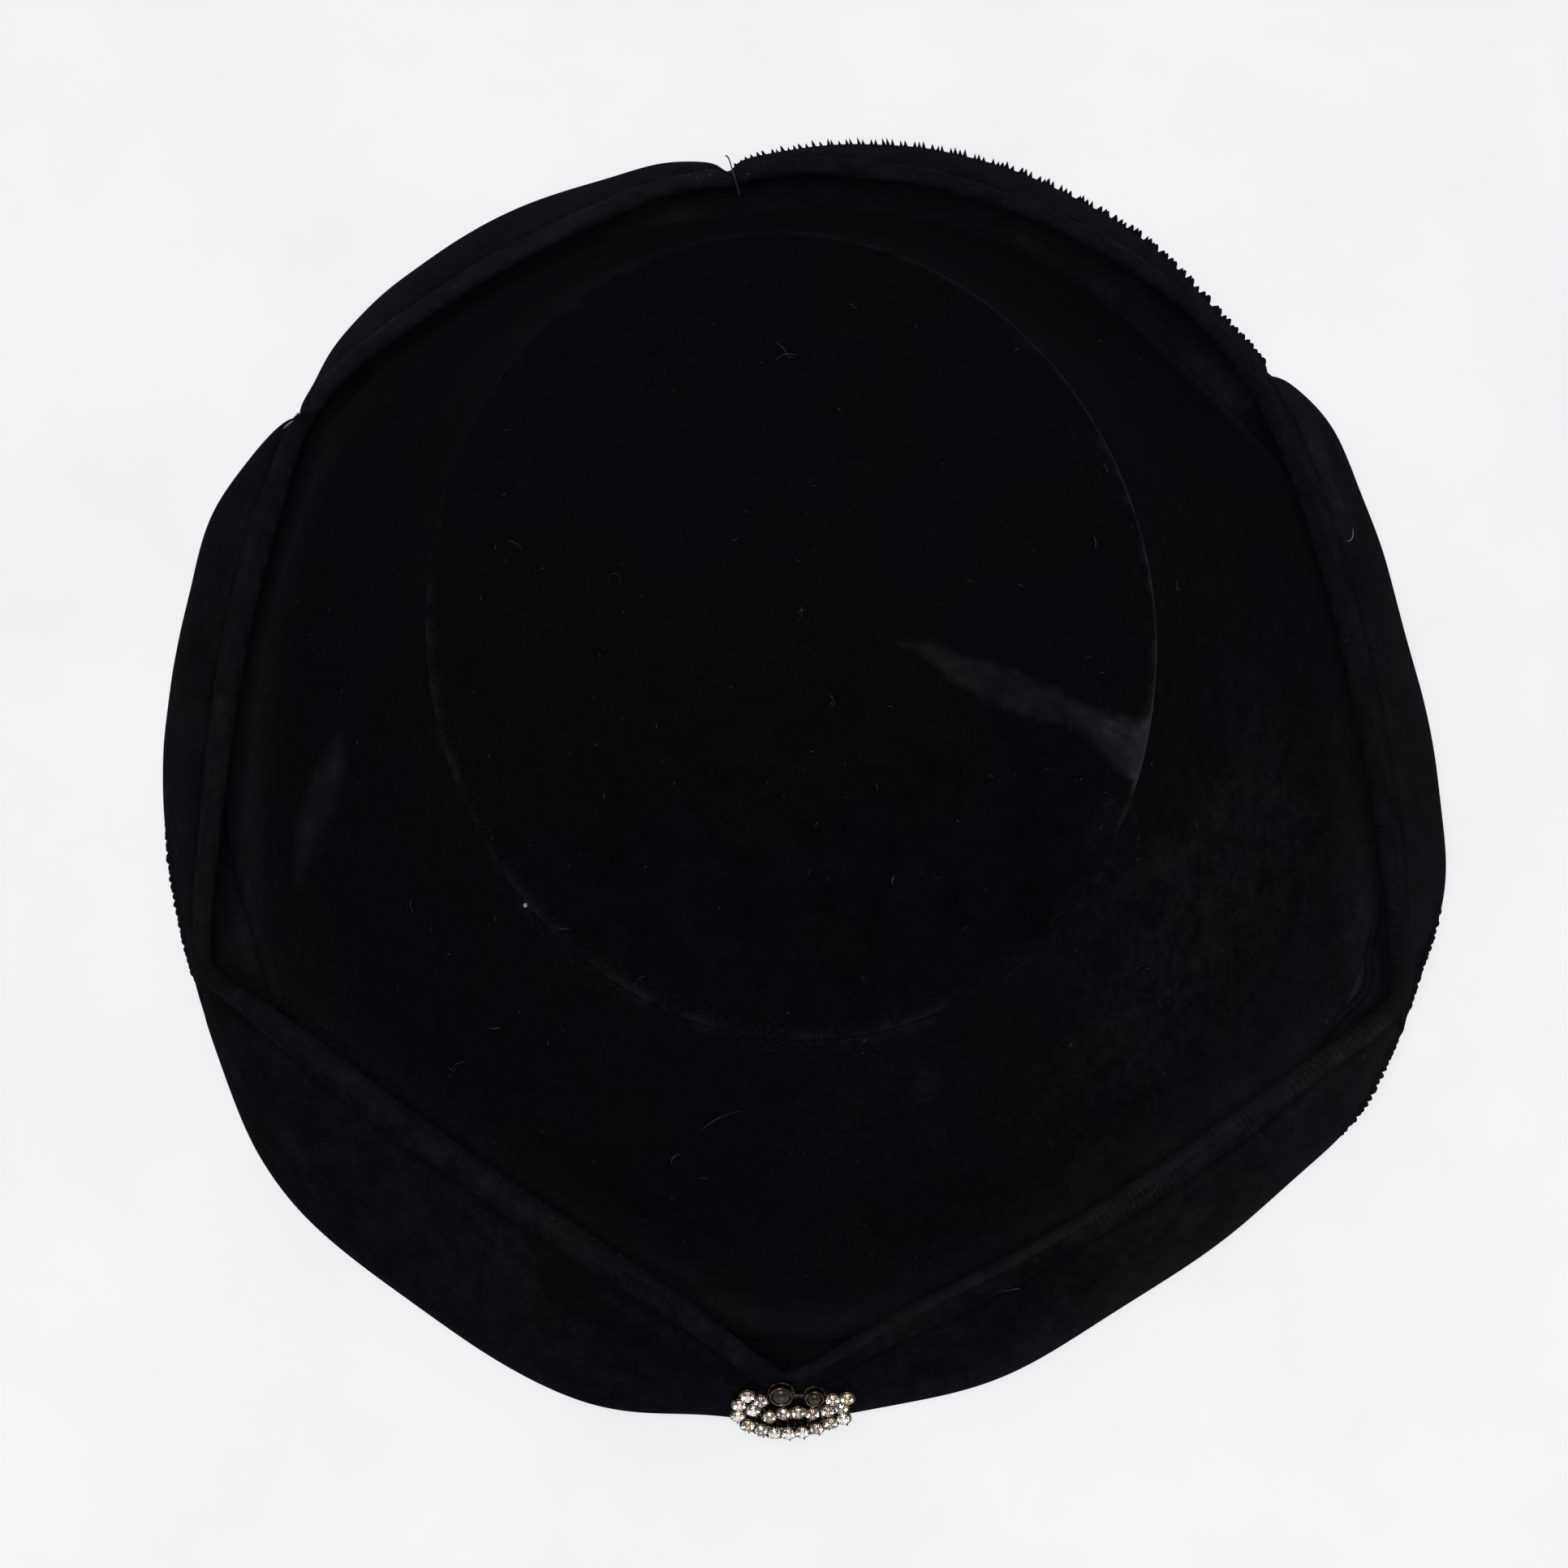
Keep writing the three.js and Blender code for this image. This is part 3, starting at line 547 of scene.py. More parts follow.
def path_mark(x, y, nodes, soft):
    """One on a stroke in plan through nodes (x, y, half width), falling to zero over a soft border."""
    best = np.zeros(np.shape(x))
    flat = np.stack([x, y, np.zeros(np.shape(x))], axis=-1)
    ragged = 0.45 * soft * (0.6 * noise(flat, 2.2, 71) + 0.6 * noise(flat, 0.9, 72))
    for start, end in zip(nodes[:-1], nodes[1:]):
        ax, ay = end[0] - start[0], end[1] - start[1]
        part = np.clip(((x - start[0]) * ax + (y - start[1]) * ay) / (ax * ax + ay * ay), 0, 1)
        away = np.hypot(x - start[0] - part * ax, y - start[1] - part * ay)
        width = lerp(start[2], end[2], part)
        best = np.maximum(best, smooth((width - away + ragged) / soft + 0.5))
    return best


def strokes(x, y, rows):
    """Sum of painted highlight strokes in plan, each a row of nodes, softness and tone."""
    return sum(tone * path_mark(x, y, nodes, soft) for nodes, soft, tone in rows)


def tip_tone(net, angles, lit):
    x, y = net[..., 0], net[..., 1]
    away = tip_radius(angles)[None, :] - np.linalg.norm(net[..., :2], axis=2)
    tone, width = seam_tone(angles)
    frayed = width > FRAYED
    broken = smooth(0.55 + 0.9 * noise(net, 5, 6) + 0.7 * noise(net, 1.8, 7))
    # a crisp seam line is a painted highlight on the seam's edge, with a painted highlight on its flank
    flank_highlight = 0.34 * (width < FRAYED) * hump(away, 0.7, 1.1) * broken
    beaded = 0.8 + 0.35 * noise(net, 1.6, 16)
    line = hump(away, -0.35 * frayed * noise(net, 3, 8), 0.5 * width * (1 + 0.6 * frayed)) + flank_highlight
    line = tone * line * lerp(beaded, 0.3 + 0.6 * broken, frayed)
    # painted shade where the cloth dips beside the seam at the front
    dip_shade = 0.06 * nearness(angles, -95, 45) * hump(away, 2.6, 1.2)
    base = TIP_TONE + 0.03 * noise(net, 9, 3) + 0.03 * noise(net, 3.5, 10) - 0.05
    base = base + 0.11 * smooth((y + 55) / 90)
    # painted highlight on the lit slope of the tip's dent
    dent_highlight = strokes(x, y, DENT_HIGHLIGHTS) * (1 + 0.32 * noise(net, 1.6, 9) + 0.16 * noise(net, 5, 4))
    value = np.clip(base + dent_highlight + line - dip_shade, 0, 1)
    value[lit:] = INSIDE_TONE
    return value


def joined(*parts):
    """One line from pieces of (radius, height), each an array over the angles or a number."""
    pieces = [np.stack(np.broadcast_arrays(radius, height), axis=-1) for radius, height in parts]
    return np.concatenate(pieces, axis=1)


def side_line(angle):
    a = angle[:, None]
    roll_mid = RIM_ROLL - VELVET / 2
    roll_radius = rim_radius(a) - RIM_ROLL
    roll_height = UNDER_HEIGHT + VELVET / 2 + roll_mid
    top_radius = tip_radius(a) - VELVET / 2
    top_height = seam_height(a) - VELVET - GAP - VELVET / 2
    slope = np.arctan2(roll_radius - top_radius, top_height - roll_height)
    part = np.linspace(0, 1, SIDE_ROWS)[None, :-1]
    sag = (SIDE_SAG + side_fold(a, part)) * np.sin(np.pi * part)
    radius = lerp(top_radius, roll_radius + roll_mid * np.cos(slope), part) - sag * np.cos(slope)
    height = lerp(top_height, roll_height + roll_mid * np.sin(slope), part) - sag * np.sin(slope)
    turn = lerp(slope, -np.pi / 2, np.linspace(0, 1, RIM_ROWS)[None, :])
    return joined((radius, height),
                  (roll_radius + roll_mid * np.cos(turn), roll_height + roll_mid * np.sin(turn)),
                  (roll_radius - RIM_ROLL * np.array([[0.33, 0.67, 1.0]]), UNDER_HEIGHT + VELVET / 2))


def crown_side():
    angles = np.arange(SIDE_STEPS) * 360 / SIDE_STEPS
    line = side_line(angles)
    count = line.shape[1]
    normal, _ = normals_of(line)
    where = at(angles[:, None], line[..., 0], line[..., 1])
    row = np.arange(count)[None, :]
    ripple = 0.7 * noise(where, 38, 11) + 0.22 * noise(where, 13, 12)
    line = line + normal * (ripple * smooth(row / 8) * smooth((72 - row) / 14))[..., None]
    net = wall_net(angles, line, VELVET / 2, VELVET / 2)
    tone = np.full(net.shape[:2], 0.1)
    tone[:, :count] = side_tone(net[:, :count], angles[:, None])
    values = {"pile_tone_and_light": tone, "cool": cool(net), "crush": crushed_share(net)}
    dressed("crown_side", net, quads(net, True, True), values)
    return net[:, :count]


def crushed_share(points):
    """How strongly the pile is crushed into small patches: most at the right and the front right."""
    share = 0.22 + 0.1 * noise(points, 30, 61)
    for cx, cy, rx, ry, amount in CRUSHED:
        share = share + amount * hump(points[..., 0], cx, rx) * hump(points[..., 1], cy, ry)
    return np.clip(share, 0, 1)


def panel_edges(angles):
    """Radius of the panels' rolled edge at each angle."""
    edges = np.zeros(angles.shape)
    for panel in PANELS:
        turned = (angles - panel["from"]) % 360 + panel["from"]
        rolled = bowed(panel, panel["edge"], turned) + EDGE_SET - DOUBLED
        edges = np.where(turned <= panel["to"], rolled, edges)
    return edges


def side_tone(points, a):
    x, y, z = points[..., 0], points[..., 1], points[..., 2]
    base = around(SIDE_TONES, a) * (1 - 0.42 * nearness(a, -14, 52) * smooth((z - 46) / 24))
    # painted highlights on folds of the side
    side_highlight = strokes(x, y, SIDE_HIGHLIGHTS) * (1 + 0.3 * noise(points, 4, 21))
    # painted highlight along the crown's folded rim
    fold = around(RIM_HIGHLIGHTS, a) * hump(z, 12.6, 2.2) * (1 + 0.3 * noise(points, 3, 27))
    left = nearness(a, 172, 45)
    # painted light lifting the shade low on the side: more at the left, less at the back right
    low = smooth((38 - z) / 24) * (1 + 0.45 * left - 0.75 * nearness(a, 68, 44))
    low = low + 0.4 * left * smooth((62 - z) / 40)
    # painted light in soft patches low on the side
    rim = sum(tone * nearness(a, centre, spread) * hump(z, height, reach)
              for centre, spread, height, reach, tone in SIDE_PAINTED_LIGHTS)
    mottle = 0.07 * (crushed_share(points) - 0.2) * (1 + 0.6 * noise(points, 11, 23))
    tone, width = seam_tone(a)
    away = (TIP_HEIGHT - 3 - z) + 0.5 * noise(points, 2.2, 25)
    broken = smooth(0.45 + 1.0 * noise(points, 5, 6) + 0.8 * noise(points, 1.8, 28))
    seam = SIDE_SEAM * tone * hump(away, 0, 1.1 * width) * (width > FRAYED) * broken
    apart = panel_edges(a) - np.hypot(x, y)
    # painted light lifting the shade beside the panels' rolled edges
    shade = smooth(1 - apart / 12) * smooth((50 - z) / 14) * (1 - 0.9 * nearness(a, 66, 46))
    value = base + LOW_PAINTED_LIGHT * low + SHADE_PAINTED_LIGHT * shade + side_highlight + rim + mottle + seam + fold
    return np.clip(value + 0.02 * noise(points, 20, 26), 0, 1)


def underbrim():
    angles = np.arange(UNDER_STEPS) * 360 / UNDER_STEPS
    a = angles[:, None]
    start = rim_radius(a) - 2 * RIM_ROLL - VELVET - GAP
    head = head_radius(a) + VELVET / 2
    middle = UNDER_HEIGHT + VELVET / 2
    turn = np.radians(np.linspace(0, 90, BEND_ROWS))[None, 1:]
    rise = middle + lerp(HEM_BEND, HEM_HEIGHT, np.linspace(0, 1, HEM_ROWS)[None, 1:])
    line = joined((lerp(start, head + HEM_BEND, np.linspace(0, 1, UNDER_ROWS)[None, :]), middle),
                  (head + HEM_BEND * (1 - np.sin(turn)), middle + HEM_BEND * (1 - np.cos(turn))),
                  (head, rise))
    where = at(a, line[..., 0], line[..., 1])
    row = np.arange(line.shape[1])[None, :]
    wave = 0.16 * noise(where, 24, 31) * smooth((row - 1) / 4) + 0.12 * np.cos(a * 72 * np.pi / 180)
    line[..., 0] += wave * smooth((row - 26) / 8) * 0.8
    line[..., 1] += 0.12 * noise(where, 15, 32) * smooth((row - 1) / 4) * smooth((30 - row) / 6)
    net = wall_net(angles, line, VELVET / 2, VELVET / 2)
    values = {"pile_tone_and_light": 0.12 + 0.05 * noise(net, 14, 33), "cool": cool(net)}
    dressed("underbrim", net, quads(net, True, True), values)


ROOT_POINTS = 10
TURN_POINTS = 16
FACE_POINTS = 58


def panel_line(panel, angle):
    """Middle line of a panel's wall, the part up its face, and the distance to its edge along it."""
    half = DOUBLED / 2
    a = angle[:, None]
    widest = bowed(panel, panel["base"], a) + swell(a) - half
    edge = bowed(panel, panel["edge"], a) + EDGE_SET
    height = edge_height(panel, a) - half
    root = lerp(ROOT_RADIUS + half, widest - BASE_TURN, np.linspace(0, 1, ROOT_POINTS)[None, :-1])
    turn = np.radians(np.linspace(0, 90, TURN_POINTS))[None, :-1]
    part = np.linspace(0, 1, FACE_POINTS)[None, :]
    knee = BASE_HEIGHT + 0.35 * (height - BASE_HEIGHT)
    radius = (1 - part ** 2) * widest + part ** 2 * edge
    rise = (1 - part) ** 2 * BASE_HEIGHT + 2 * part * (1 - part) * knee + part ** 2 * height
    lean = np.arctan2(widest - edge, height - BASE_HEIGHT)
    steps = np.hypot(np.diff(radius, axis=1), np.diff(rise, axis=1))
    rest = np.pad(np.cumsum(steps[:, ::-1], axis=1)[:, ::-1], ((0, 0), (0, 1)))
    depth = hump(rest, panel["roll"], 2.6) * crease_depth(a) * 0.8
    bend = BASE_HEIGHT - (BASE_HEIGHT - half) * np.cos(turn)
    line = joined((root, half), (widest - BASE_TURN * (1 - np.sin(turn)), bend),
                  (radius - depth * np.cos(lean), rise - depth * np.sin(lean)))
    hidden = ((0, 0), (line.shape[1] - FACE_POINTS, 0))
    return line, np.pad(part, hidden, constant_values=-1.0), np.pad(rest, hidden, constant_values=99.0)


def panel_angles(panel):
    t = np.linspace(0, 1, PANEL_STEPS)
    return lerp(panel["from"], panel["to"], lerp(t, (1 - np.cos(np.pi * t)) / 2, 0.8))


def panel_body(panel):
    seed = panel["seed"]
    angles = panel_angles(panel)
    line, parts, rest = panel_line(panel, angles)
    count = line.shape[1]
    a = angles[:, None]
    where = at(a, line[..., 0], line[..., 1])
    normal, _ = normals_of(line)
    # distance in millimetres from each end of the panel, along the edge
    reach = line[:, -1, 0].mean() * math.radians(1)
    from_end = np.minimum(a - panel["from"], panel["to"] - a) * reach
    calm = smooth(from_end / 14)
    ripple = 0.5 * noise(where, 34, seed) + 0.3 * noise(where, 14, seed + 1)
    line = line + normal * (ripple * smooth((parts + 0.1) / 0.25) * calm)[..., None]
    # where the rolled fold ends and the stitched crease lies; both wander a little
    wander = panel["roll"] + 0.7 * noise(where, 12, seed + 8)
    roll = smooth((wander - 0.2 - rest) / 2.4)
    pucker = 0.5 + 0.5 * np.cos(2 * np.pi * a * reach / PUCKER_PITCH + 1.5 * noise(where, 9, seed + 2))
    half = DOUBLED / 2
    # the wall is drawn in at a notch
    near = hump(from_end, 0, 3.2)
    tight = hump(from_end, 0, 1.6)
    line[..., 0] -= 0.9 * near * smooth((parts + 0.3) / 0.5)
    line[..., 1] -= 1.2 * near * smooth(parts)
    outer = half * (1 + 0.16 * roll) - hump(rest, wander, CREASE_WIDTH) * (0.36 + 0.2 * pucker)
    outer = outer + (0.2 * noise(where, 2.6, seed + 3) + 0.34 * noise(where, 6, seed + 5)) * roll
    outer = outer - 1.25 * tight * smooth((parts + 0.3) / 0.4)
    soft = smooth((parts - 0.3) / 0.2) * (1 - roll) * calm
    inner = half * (1 + 0.3 * roll) + 0.16 * ridges(where, rest, seed) * soft - 0.3 * tight * roll
    net = wall_net(angles, line, inner, outer)
    rib = np.zeros(net.shape[:2])
    outer_rows(rib, count)[:] = rib_share(panel, a, rest)
    rib[:, count:count + NOSE] = rib_share(panel, a, np.zeros((1, NOSE)))
    values = {"pile_tone_and_light": panel_tone(panel, net, rest, count), "cool": cool(net), "rib": rib,
              "along": np.broadcast_to(a * reach, rib.shape), "crush": np.full(rib.shape, 0.35)}
    faces = quads(net, False, True) + wall_cap(0, count, False)
    faces += wall_cap((net.shape[0] - 1) * net.shape[1], count, True)
    dressed(panel["name"], net, faces, values)
    return net, count, angles


def outer_rows(net, count):
    """The rows of a panel's net over its outer face, from the root to the edge."""
    return net[:, count + NOSE:2 * count + NOSE][:, ::-1]


def ridges(points, rest, seed):
    """Faint ridges across a panel's inner face, from -1 to 1."""
    return np.cos(rest * 1.15 + 0.8 * noise(points, 22, seed + 4))


def rib_share(panel, angle, rest):
    """How clearly the pile shows as fine ribs across the fold: along the rows of RIBBED."""
    turned = (angle + 180) % 360 - 180
    share = sum(amount * smooth((turned - start) / 4 + 0.5) * smooth((end - turned) / 4 + 0.5)
                for start, end, amount in RIBBED)
    return share * smooth((panel["roll"] + 0.6 - rest) / 1.2)


def panel_tone(panel, net, rest, count):
    face, roll_highlight, inner_tone = panel["tones"]
    seed = panel["seed"]
    width = panel["roll"]
    points = outer_rows(net, count)
    wander = width + 0.7 * noise(points, 12, seed + 8)
    roll = smooth((wander - 0.4 - rest) / 1.8)
    patchy = noise(points, 13, seed + 6) * 0.55 + noise(points, 5, seed + 7) * 0.45
    # painted shade in the crease under the roll, and a painted highlight on the roll itself and on the face
    # just below the crease
    crease_shade = hump(rest, wander, 1.1) * (0.75 + 0.5 * noise(points, 10, seed + 9))
    value = lerp(face, roll_highlight, roll) * (1 + 0.24 * patchy) - 0.38 * face * crease_shade
    value = value + 0.1 * face * hump(rest, width + 2.0, 1.0)
    # painted shade on the fold's crown, a little darker than its two flanks, and a painted highlight on the
    # upper flank here and there
    crest_shade = hump(rest, 0.55 * width, 0.9)
    flank_highlight = hump(rest, 0.22 * width, 1.0) * smooth(0.35 + 0.9 * noise(points, 7, seed + 10))
    tufts = smooth(0.4 + 0.9 * noise(points, 2.4, seed + 11)) * roll
    value = value * (1 - 0.08 * roll - 0.14 * crest_shade + 0.3 * flank_highlight + 0.24 * tufts)
    # painted highlights and painted shade along the panels' folds
    for nodes, soft, change in PANEL_LIGHT_AND_SHADE.get(panel["name"], ()):
        value = value + change * value * path_mark(points[..., 0], points[..., 1], nodes, soft)
    tone = np.full(net.shape[:2], inner_tone)
    outer_rows(tone, count)[:] = value
    left = net[:, :count]
    # painted shade towards the inner face's foot, and painted light and shade along its faint ridges
    foot = 0.7 + 0.3 * smooth((left[..., 2] - 12) / 18)
    ridge_shading = 0.95 + 0.2 * ridges(left, rest, seed)
    tone[:, :count] = inner_tone * ridge_shading * foot * (1 + 0.2 * noise(left, 6, 41))
    nose = smooth(np.linspace(0, 1, NOSE))[None, :]
    edge = net[:, count:count + NOSE]
    # the nose runs from the inside's lifted tone to the roll's painted highlight
    edge_tone = lerp(min(inner_tone, 0.42), roll_highlight, nose)
    tone[:, count:count + NOSE] = edge_tone * (1 + 0.15 * noise(edge, 4, 42))
    return np.clip(tone, 0, 1)


def wall_cap(base, count, flip):
    """Faces that close the end section of a wall, across its thickness."""
    left = base + np.arange(count)
    right = base + 2 * count + NOSE - 1 - np.arange(count)
    faces = np.stack([left[:-1], right[:-1], right[1:], left[1:]], axis=-1).tolist()
    faces.append([base + count - 1 + k for k in reversed(range(NOSE + 2))])
    faces.append([base] + [base + 2 * count + NOSE - 1 + k for k in reversed(range(NOSE + 1))])
    return [face[::-1] for face in faces] if flip else faces


# Materials

def fill(tree, node, sockets):
    """Set a node's sockets, or link them."""
    for key, value in sockets.items():
        if isinstance(value, bpy.types.NodeSocket):
            tree.links.new(value, node.inputs[key])
        else:
            node.inputs[key].default_value = value


def ramp_node(tree, factor, stops):
    node = tree.nodes.new("ShaderNodeValToRGB")
    ramp = node.color_ramp
    while len(ramp.elements) < len(stops):
        ramp.elements.new(0.5)
    for element, (place, colour) in zip(ramp.elements, stops):
        element.position = place
        element.color = (*colour, 1)
    fill(tree, node, {"Fac": factor})
    return node.outputs["Color"]


class Value:
    """A number in a shader: what is done with it adds the nodes that work it out."""

    def __init__(self, tree, socket):
        self.tree = tree
        self.socket = socket

    def node(self, kind, other):
        made = self.tree.nodes.new("ShaderNodeMath")
        made.operation = kind
        fill(self.tree, made, {0: self.socket, 1: other.socket if isinstance(other, Value) else other})
        return Value(self.tree, made.outputs[0])

    def __add__(self, other):
        return self.node("ADD", other)

    def __sub__(self, other):
        return self.node("SUBTRACT", other)

    def __mul__(self, other):
        return self.node("MULTIPLY", other)


class Paint:
    """A new material, and what adds to its shader."""

    def __init__(self, name, looks):
        self.made = bpy.data.materials.new(name)
        self.made.use_nodes = True
        self.tree = self.made.node_tree
        self.place = self.tree.nodes.new("ShaderNodeTexCoord").outputs["Object"]
        self.shade(looks)

    def shade(self, looks):
        fill(self.tree, self.tree.nodes["Principled BSDF"], looks)

    def noise(self, scale, detail, roughness=0.5, distortion=0.0):
        node = self.tree.nodes.new("ShaderNodeTexNoise")
        fill(self.tree, node, {"Scale": scale, "Detail": detail, "Roughness": roughness,
                               "Distortion": distortion, "Vector": self.place})
        return Value(self.tree, node.outputs["Fac"])

    def attribute(self, name):
        node = self.tree.nodes.new("ShaderNodeAttribute")
        node.attribute_name = name
        return Value(self.tree, node.outputs["Fac"])

    def ramp(self, value, stops):
        return ramp_node(self.tree, value.socket, stops)

    def mix(self, value, a, b):
        node = self.tree.nodes.new("ShaderNodeMix")
        node.data_type = "RGBA"
        fill(self.tree, node, {0: value.socket, 6: a, 7: b})
        return node.outputs[2]

    def bump(self, value, strength, distance):
        node = self.tree.nodes.new("ShaderNodeBump")
        fill(self.tree, node, {"Strength": strength, "Distance": distance, "Height": value.socket})
        self.shade({"Normal": node.outputs["Normal"]})


NEUTRAL = [(0.0, (0.0012, 0.0012, 0.0014)), (0.25, (0.0030, 0.0031, 0.0033)),
           (0.6, (0.0078, 0.0078, 0.0083)), (1.0, (0.0190, 0.0190, 0.0208))]
VIOLET = [(0.0, (0.0012, 0.00105, 0.0019)), (0.25, (0.0030, 0.00265, 0.0045)),
          (0.6, (0.0078, 0.0070, 0.0109)), (1.0, (0.0190, 0.0175, 0.0250))]
RIB_PITCH = 1.4


def velvet_material():
    paint = Paint("velvet", {"Roughness": 1.0, "Specular IOR Level": 0.0, "Sheen Weight": 0.006,
                             "Sheen Roughness": 0.45, "Sheen Tint": (0.85, 0.85, 1.0, 1)})
    patches = (paint.noise(150, 6, 0.62, 0.8) - 0.5) * 0.66
    brushes = (paint.noise(520, 4, 0.6, 0.5) - 0.5) * 0.42
    brushed = paint.noise(260, 2, 0.6)
    value = paint.attribute("pile_tone_and_light") + (patches + brushes) * (paint.attribute("crush") + 0.22)
    value = value + (paint.noise(1700, 2) - 0.5) * 0.36 + (brushed - 0.5) * 0.12
    wave = (paint.attribute("along") * (2 * math.pi / RIB_PITCH) + brushed * 9.0).node("SINE", 0.0)
    broken = ((paint.noise(190, 2) - 0.42) * 5.0).node("MAXIMUM", 0.0).node("MINIMUM", 1.0)
    ribs = wave * paint.attribute("rib") * broken
    value = value + ribs * 0.11
    colour = paint.mix(paint.attribute("cool"), paint.ramp(value, NEUTRAL), paint.ramp(value, VIOLET))
    paint.shade({"Base Color": colour})
    paint.bump(paint.noise(2200, 2, 0.6) + ribs * 0.5, 0.5, 0.0004)
    return paint.made


def metal_material():
    paint = Paint("white_metal", {"Metallic": 1.0})
    wear = paint.noise(700, 4)
    bright = paint.ramp(wear, [(0.38, (0.035, 0.022, 0.017)), (0.5, (0.11, 0.08, 0.06)),
                               (0.64, (0.34, 0.29, 0.23))])
    dark = paint.ramp(wear, [(0.38, (0.010, 0.007, 0.005)), (0.62, (0.075, 0.055, 0.038))])
    paint.shade({"Base Color": paint.mix(paint.attribute("dull"), bright, dark),
                 "Roughness": (wear * -0.25 + 0.42).socket})
    paint.bump(wear, 0.35, 0.0002)
    return paint.made


def mottled(name, scale, detail, stops, looks):
    """Material whose colour wanders through a few stops."""
    paint = Paint(name, looks)
    paint.shade({"Base Color": paint.ramp(paint.noise(scale, detail), stops)})
    return paint.made


velvet = velvet_material()
lint = mottled("lint", 160, 2, [(0.35, (0.007, 0.007, 0.008)), (0.65, (0.038, 0.038, 0.040))],
               {"Roughness": 0.9, "Specular IOR Level": 0.1})
thread = mottled("pale_thread", 900, 2, [(0.3, (0.10, 0.095, 0.09)), (0.7, (0.34, 0.33, 0.32))],
                 {"Roughness": 0.9})
metal = metal_material()
clear = mottled("clear_stone", 300, 1, [(0.36, (0.82, 0.76, 0.60)), (0.5, (0.93, 0.92, 0.88)),
                                        (0.64, (0.80, 0.68, 0.67))],
                {"Roughness": 0.02, "IOR": 1.7, "Transmission Weight": 1.0})
foil = mottled("stone_foil", 500, 2, [(0.38, (0.42, 0.34, 0.23)), (0.47, (0.74, 0.70, 0.60)),
                                      (0.55, (0.30, 0.26, 0.23)), (0.64, (0.58, 0.47, 0.48))],
               {"Metallic": 0.6, "Roughness": 0.25})
pin_metal = mottled("pin_metal", 500, 3, [(0.38, (0.03, 0.024, 0.02)), (0.64, (0.10, 0.085, 0.07))],
                    {"Metallic": 1.0, "Roughness": 0.5})
smoky = mottled("smoky_stone", 420, 3, [(0.35, (0.007, 0.005, 0.0038)), (0.65, (0.030, 0.021, 0.015))],
                {"Roughness": 0.3, "Specular IOR Level": 0.3})


def outward(face):
    """Normals of a net of points that faces away from the hat's middle."""
    normal = np.cross(np.gradient(face, axis=0), np.gradient(face, axis=1))
    normal /= np.maximum(np.linalg.norm(normal, axis=2, keepdims=True), 1e-9)
    return normal if (normal[..., :2] * face[..., :2]).sum(axis=-1).mean() > 0 else -normal


def outer_face(name):
    return outer_rows(*panel_nets[name][:2])


def swept(sections):
    """Closed body through rings of points, with its faces turned outwards."""
    rows, columns = sections.shape[:2]
    faces = quads(sections, False, True)
    faces.append(tuple(reversed(range(columns))))
    faces.append(tuple((rows - 1) * columns + k for k in range(columns)))
    ring = sections[rows // 2]
    area = np.cross(ring, np.roll(ring, -1, axis=0)).sum(axis=0)
    ahead = sections[rows // 2 + 1].mean(axis=0) - sections[rows // 2 - 1].mean(axis=0)
    return sections.reshape(-1, 3), [face[::-1] for face in faces] if area @ ahead < 0 else faces


def velvet_extra(name, shape, pile_tone_and_light, crush):
    points = shape.all_points()
    values = {"pile_tone_and_light": np.broadcast_to(pile_tone_and_light, len(points)), "cool": cool(points),
              "crush": np.full(len(points), crush)}
    placed(add_mesh(name, points, shape.faces, velvet, values), "velvet")


def inner_reach(angle, height):
    """Radius of the panels' inner face at an angle and a height."""
    for panel in PANELS:
        away = (angle - panel["from"]) % 360
        if away <= panel["to"] - panel["from"]:
            net, count, angles = panel_nets[panel["name"]]
            column = int(np.argmin(np.abs(angles - panel["from"] - away)))
            inner = net[column, ROOT_POINTS + TURN_POINTS:count]
            return float(np.interp(height, inner[:, 2], np.hypot(inner[:, 0], inner[:, 1])))


def side_reach(angle, height):
    """Radius of the crown's outer side at an angle and a height."""
    row = side_net[int(round(angle % 360 / 360 * len(side_net))) % len(side_net)]
    radii = np.hypot(row[:, 0], row[:, 1])
    upper = int(np.argmax(radii)) + 1
    return float(np.interp(-height, -row[:upper, 2], radii[:upper]))


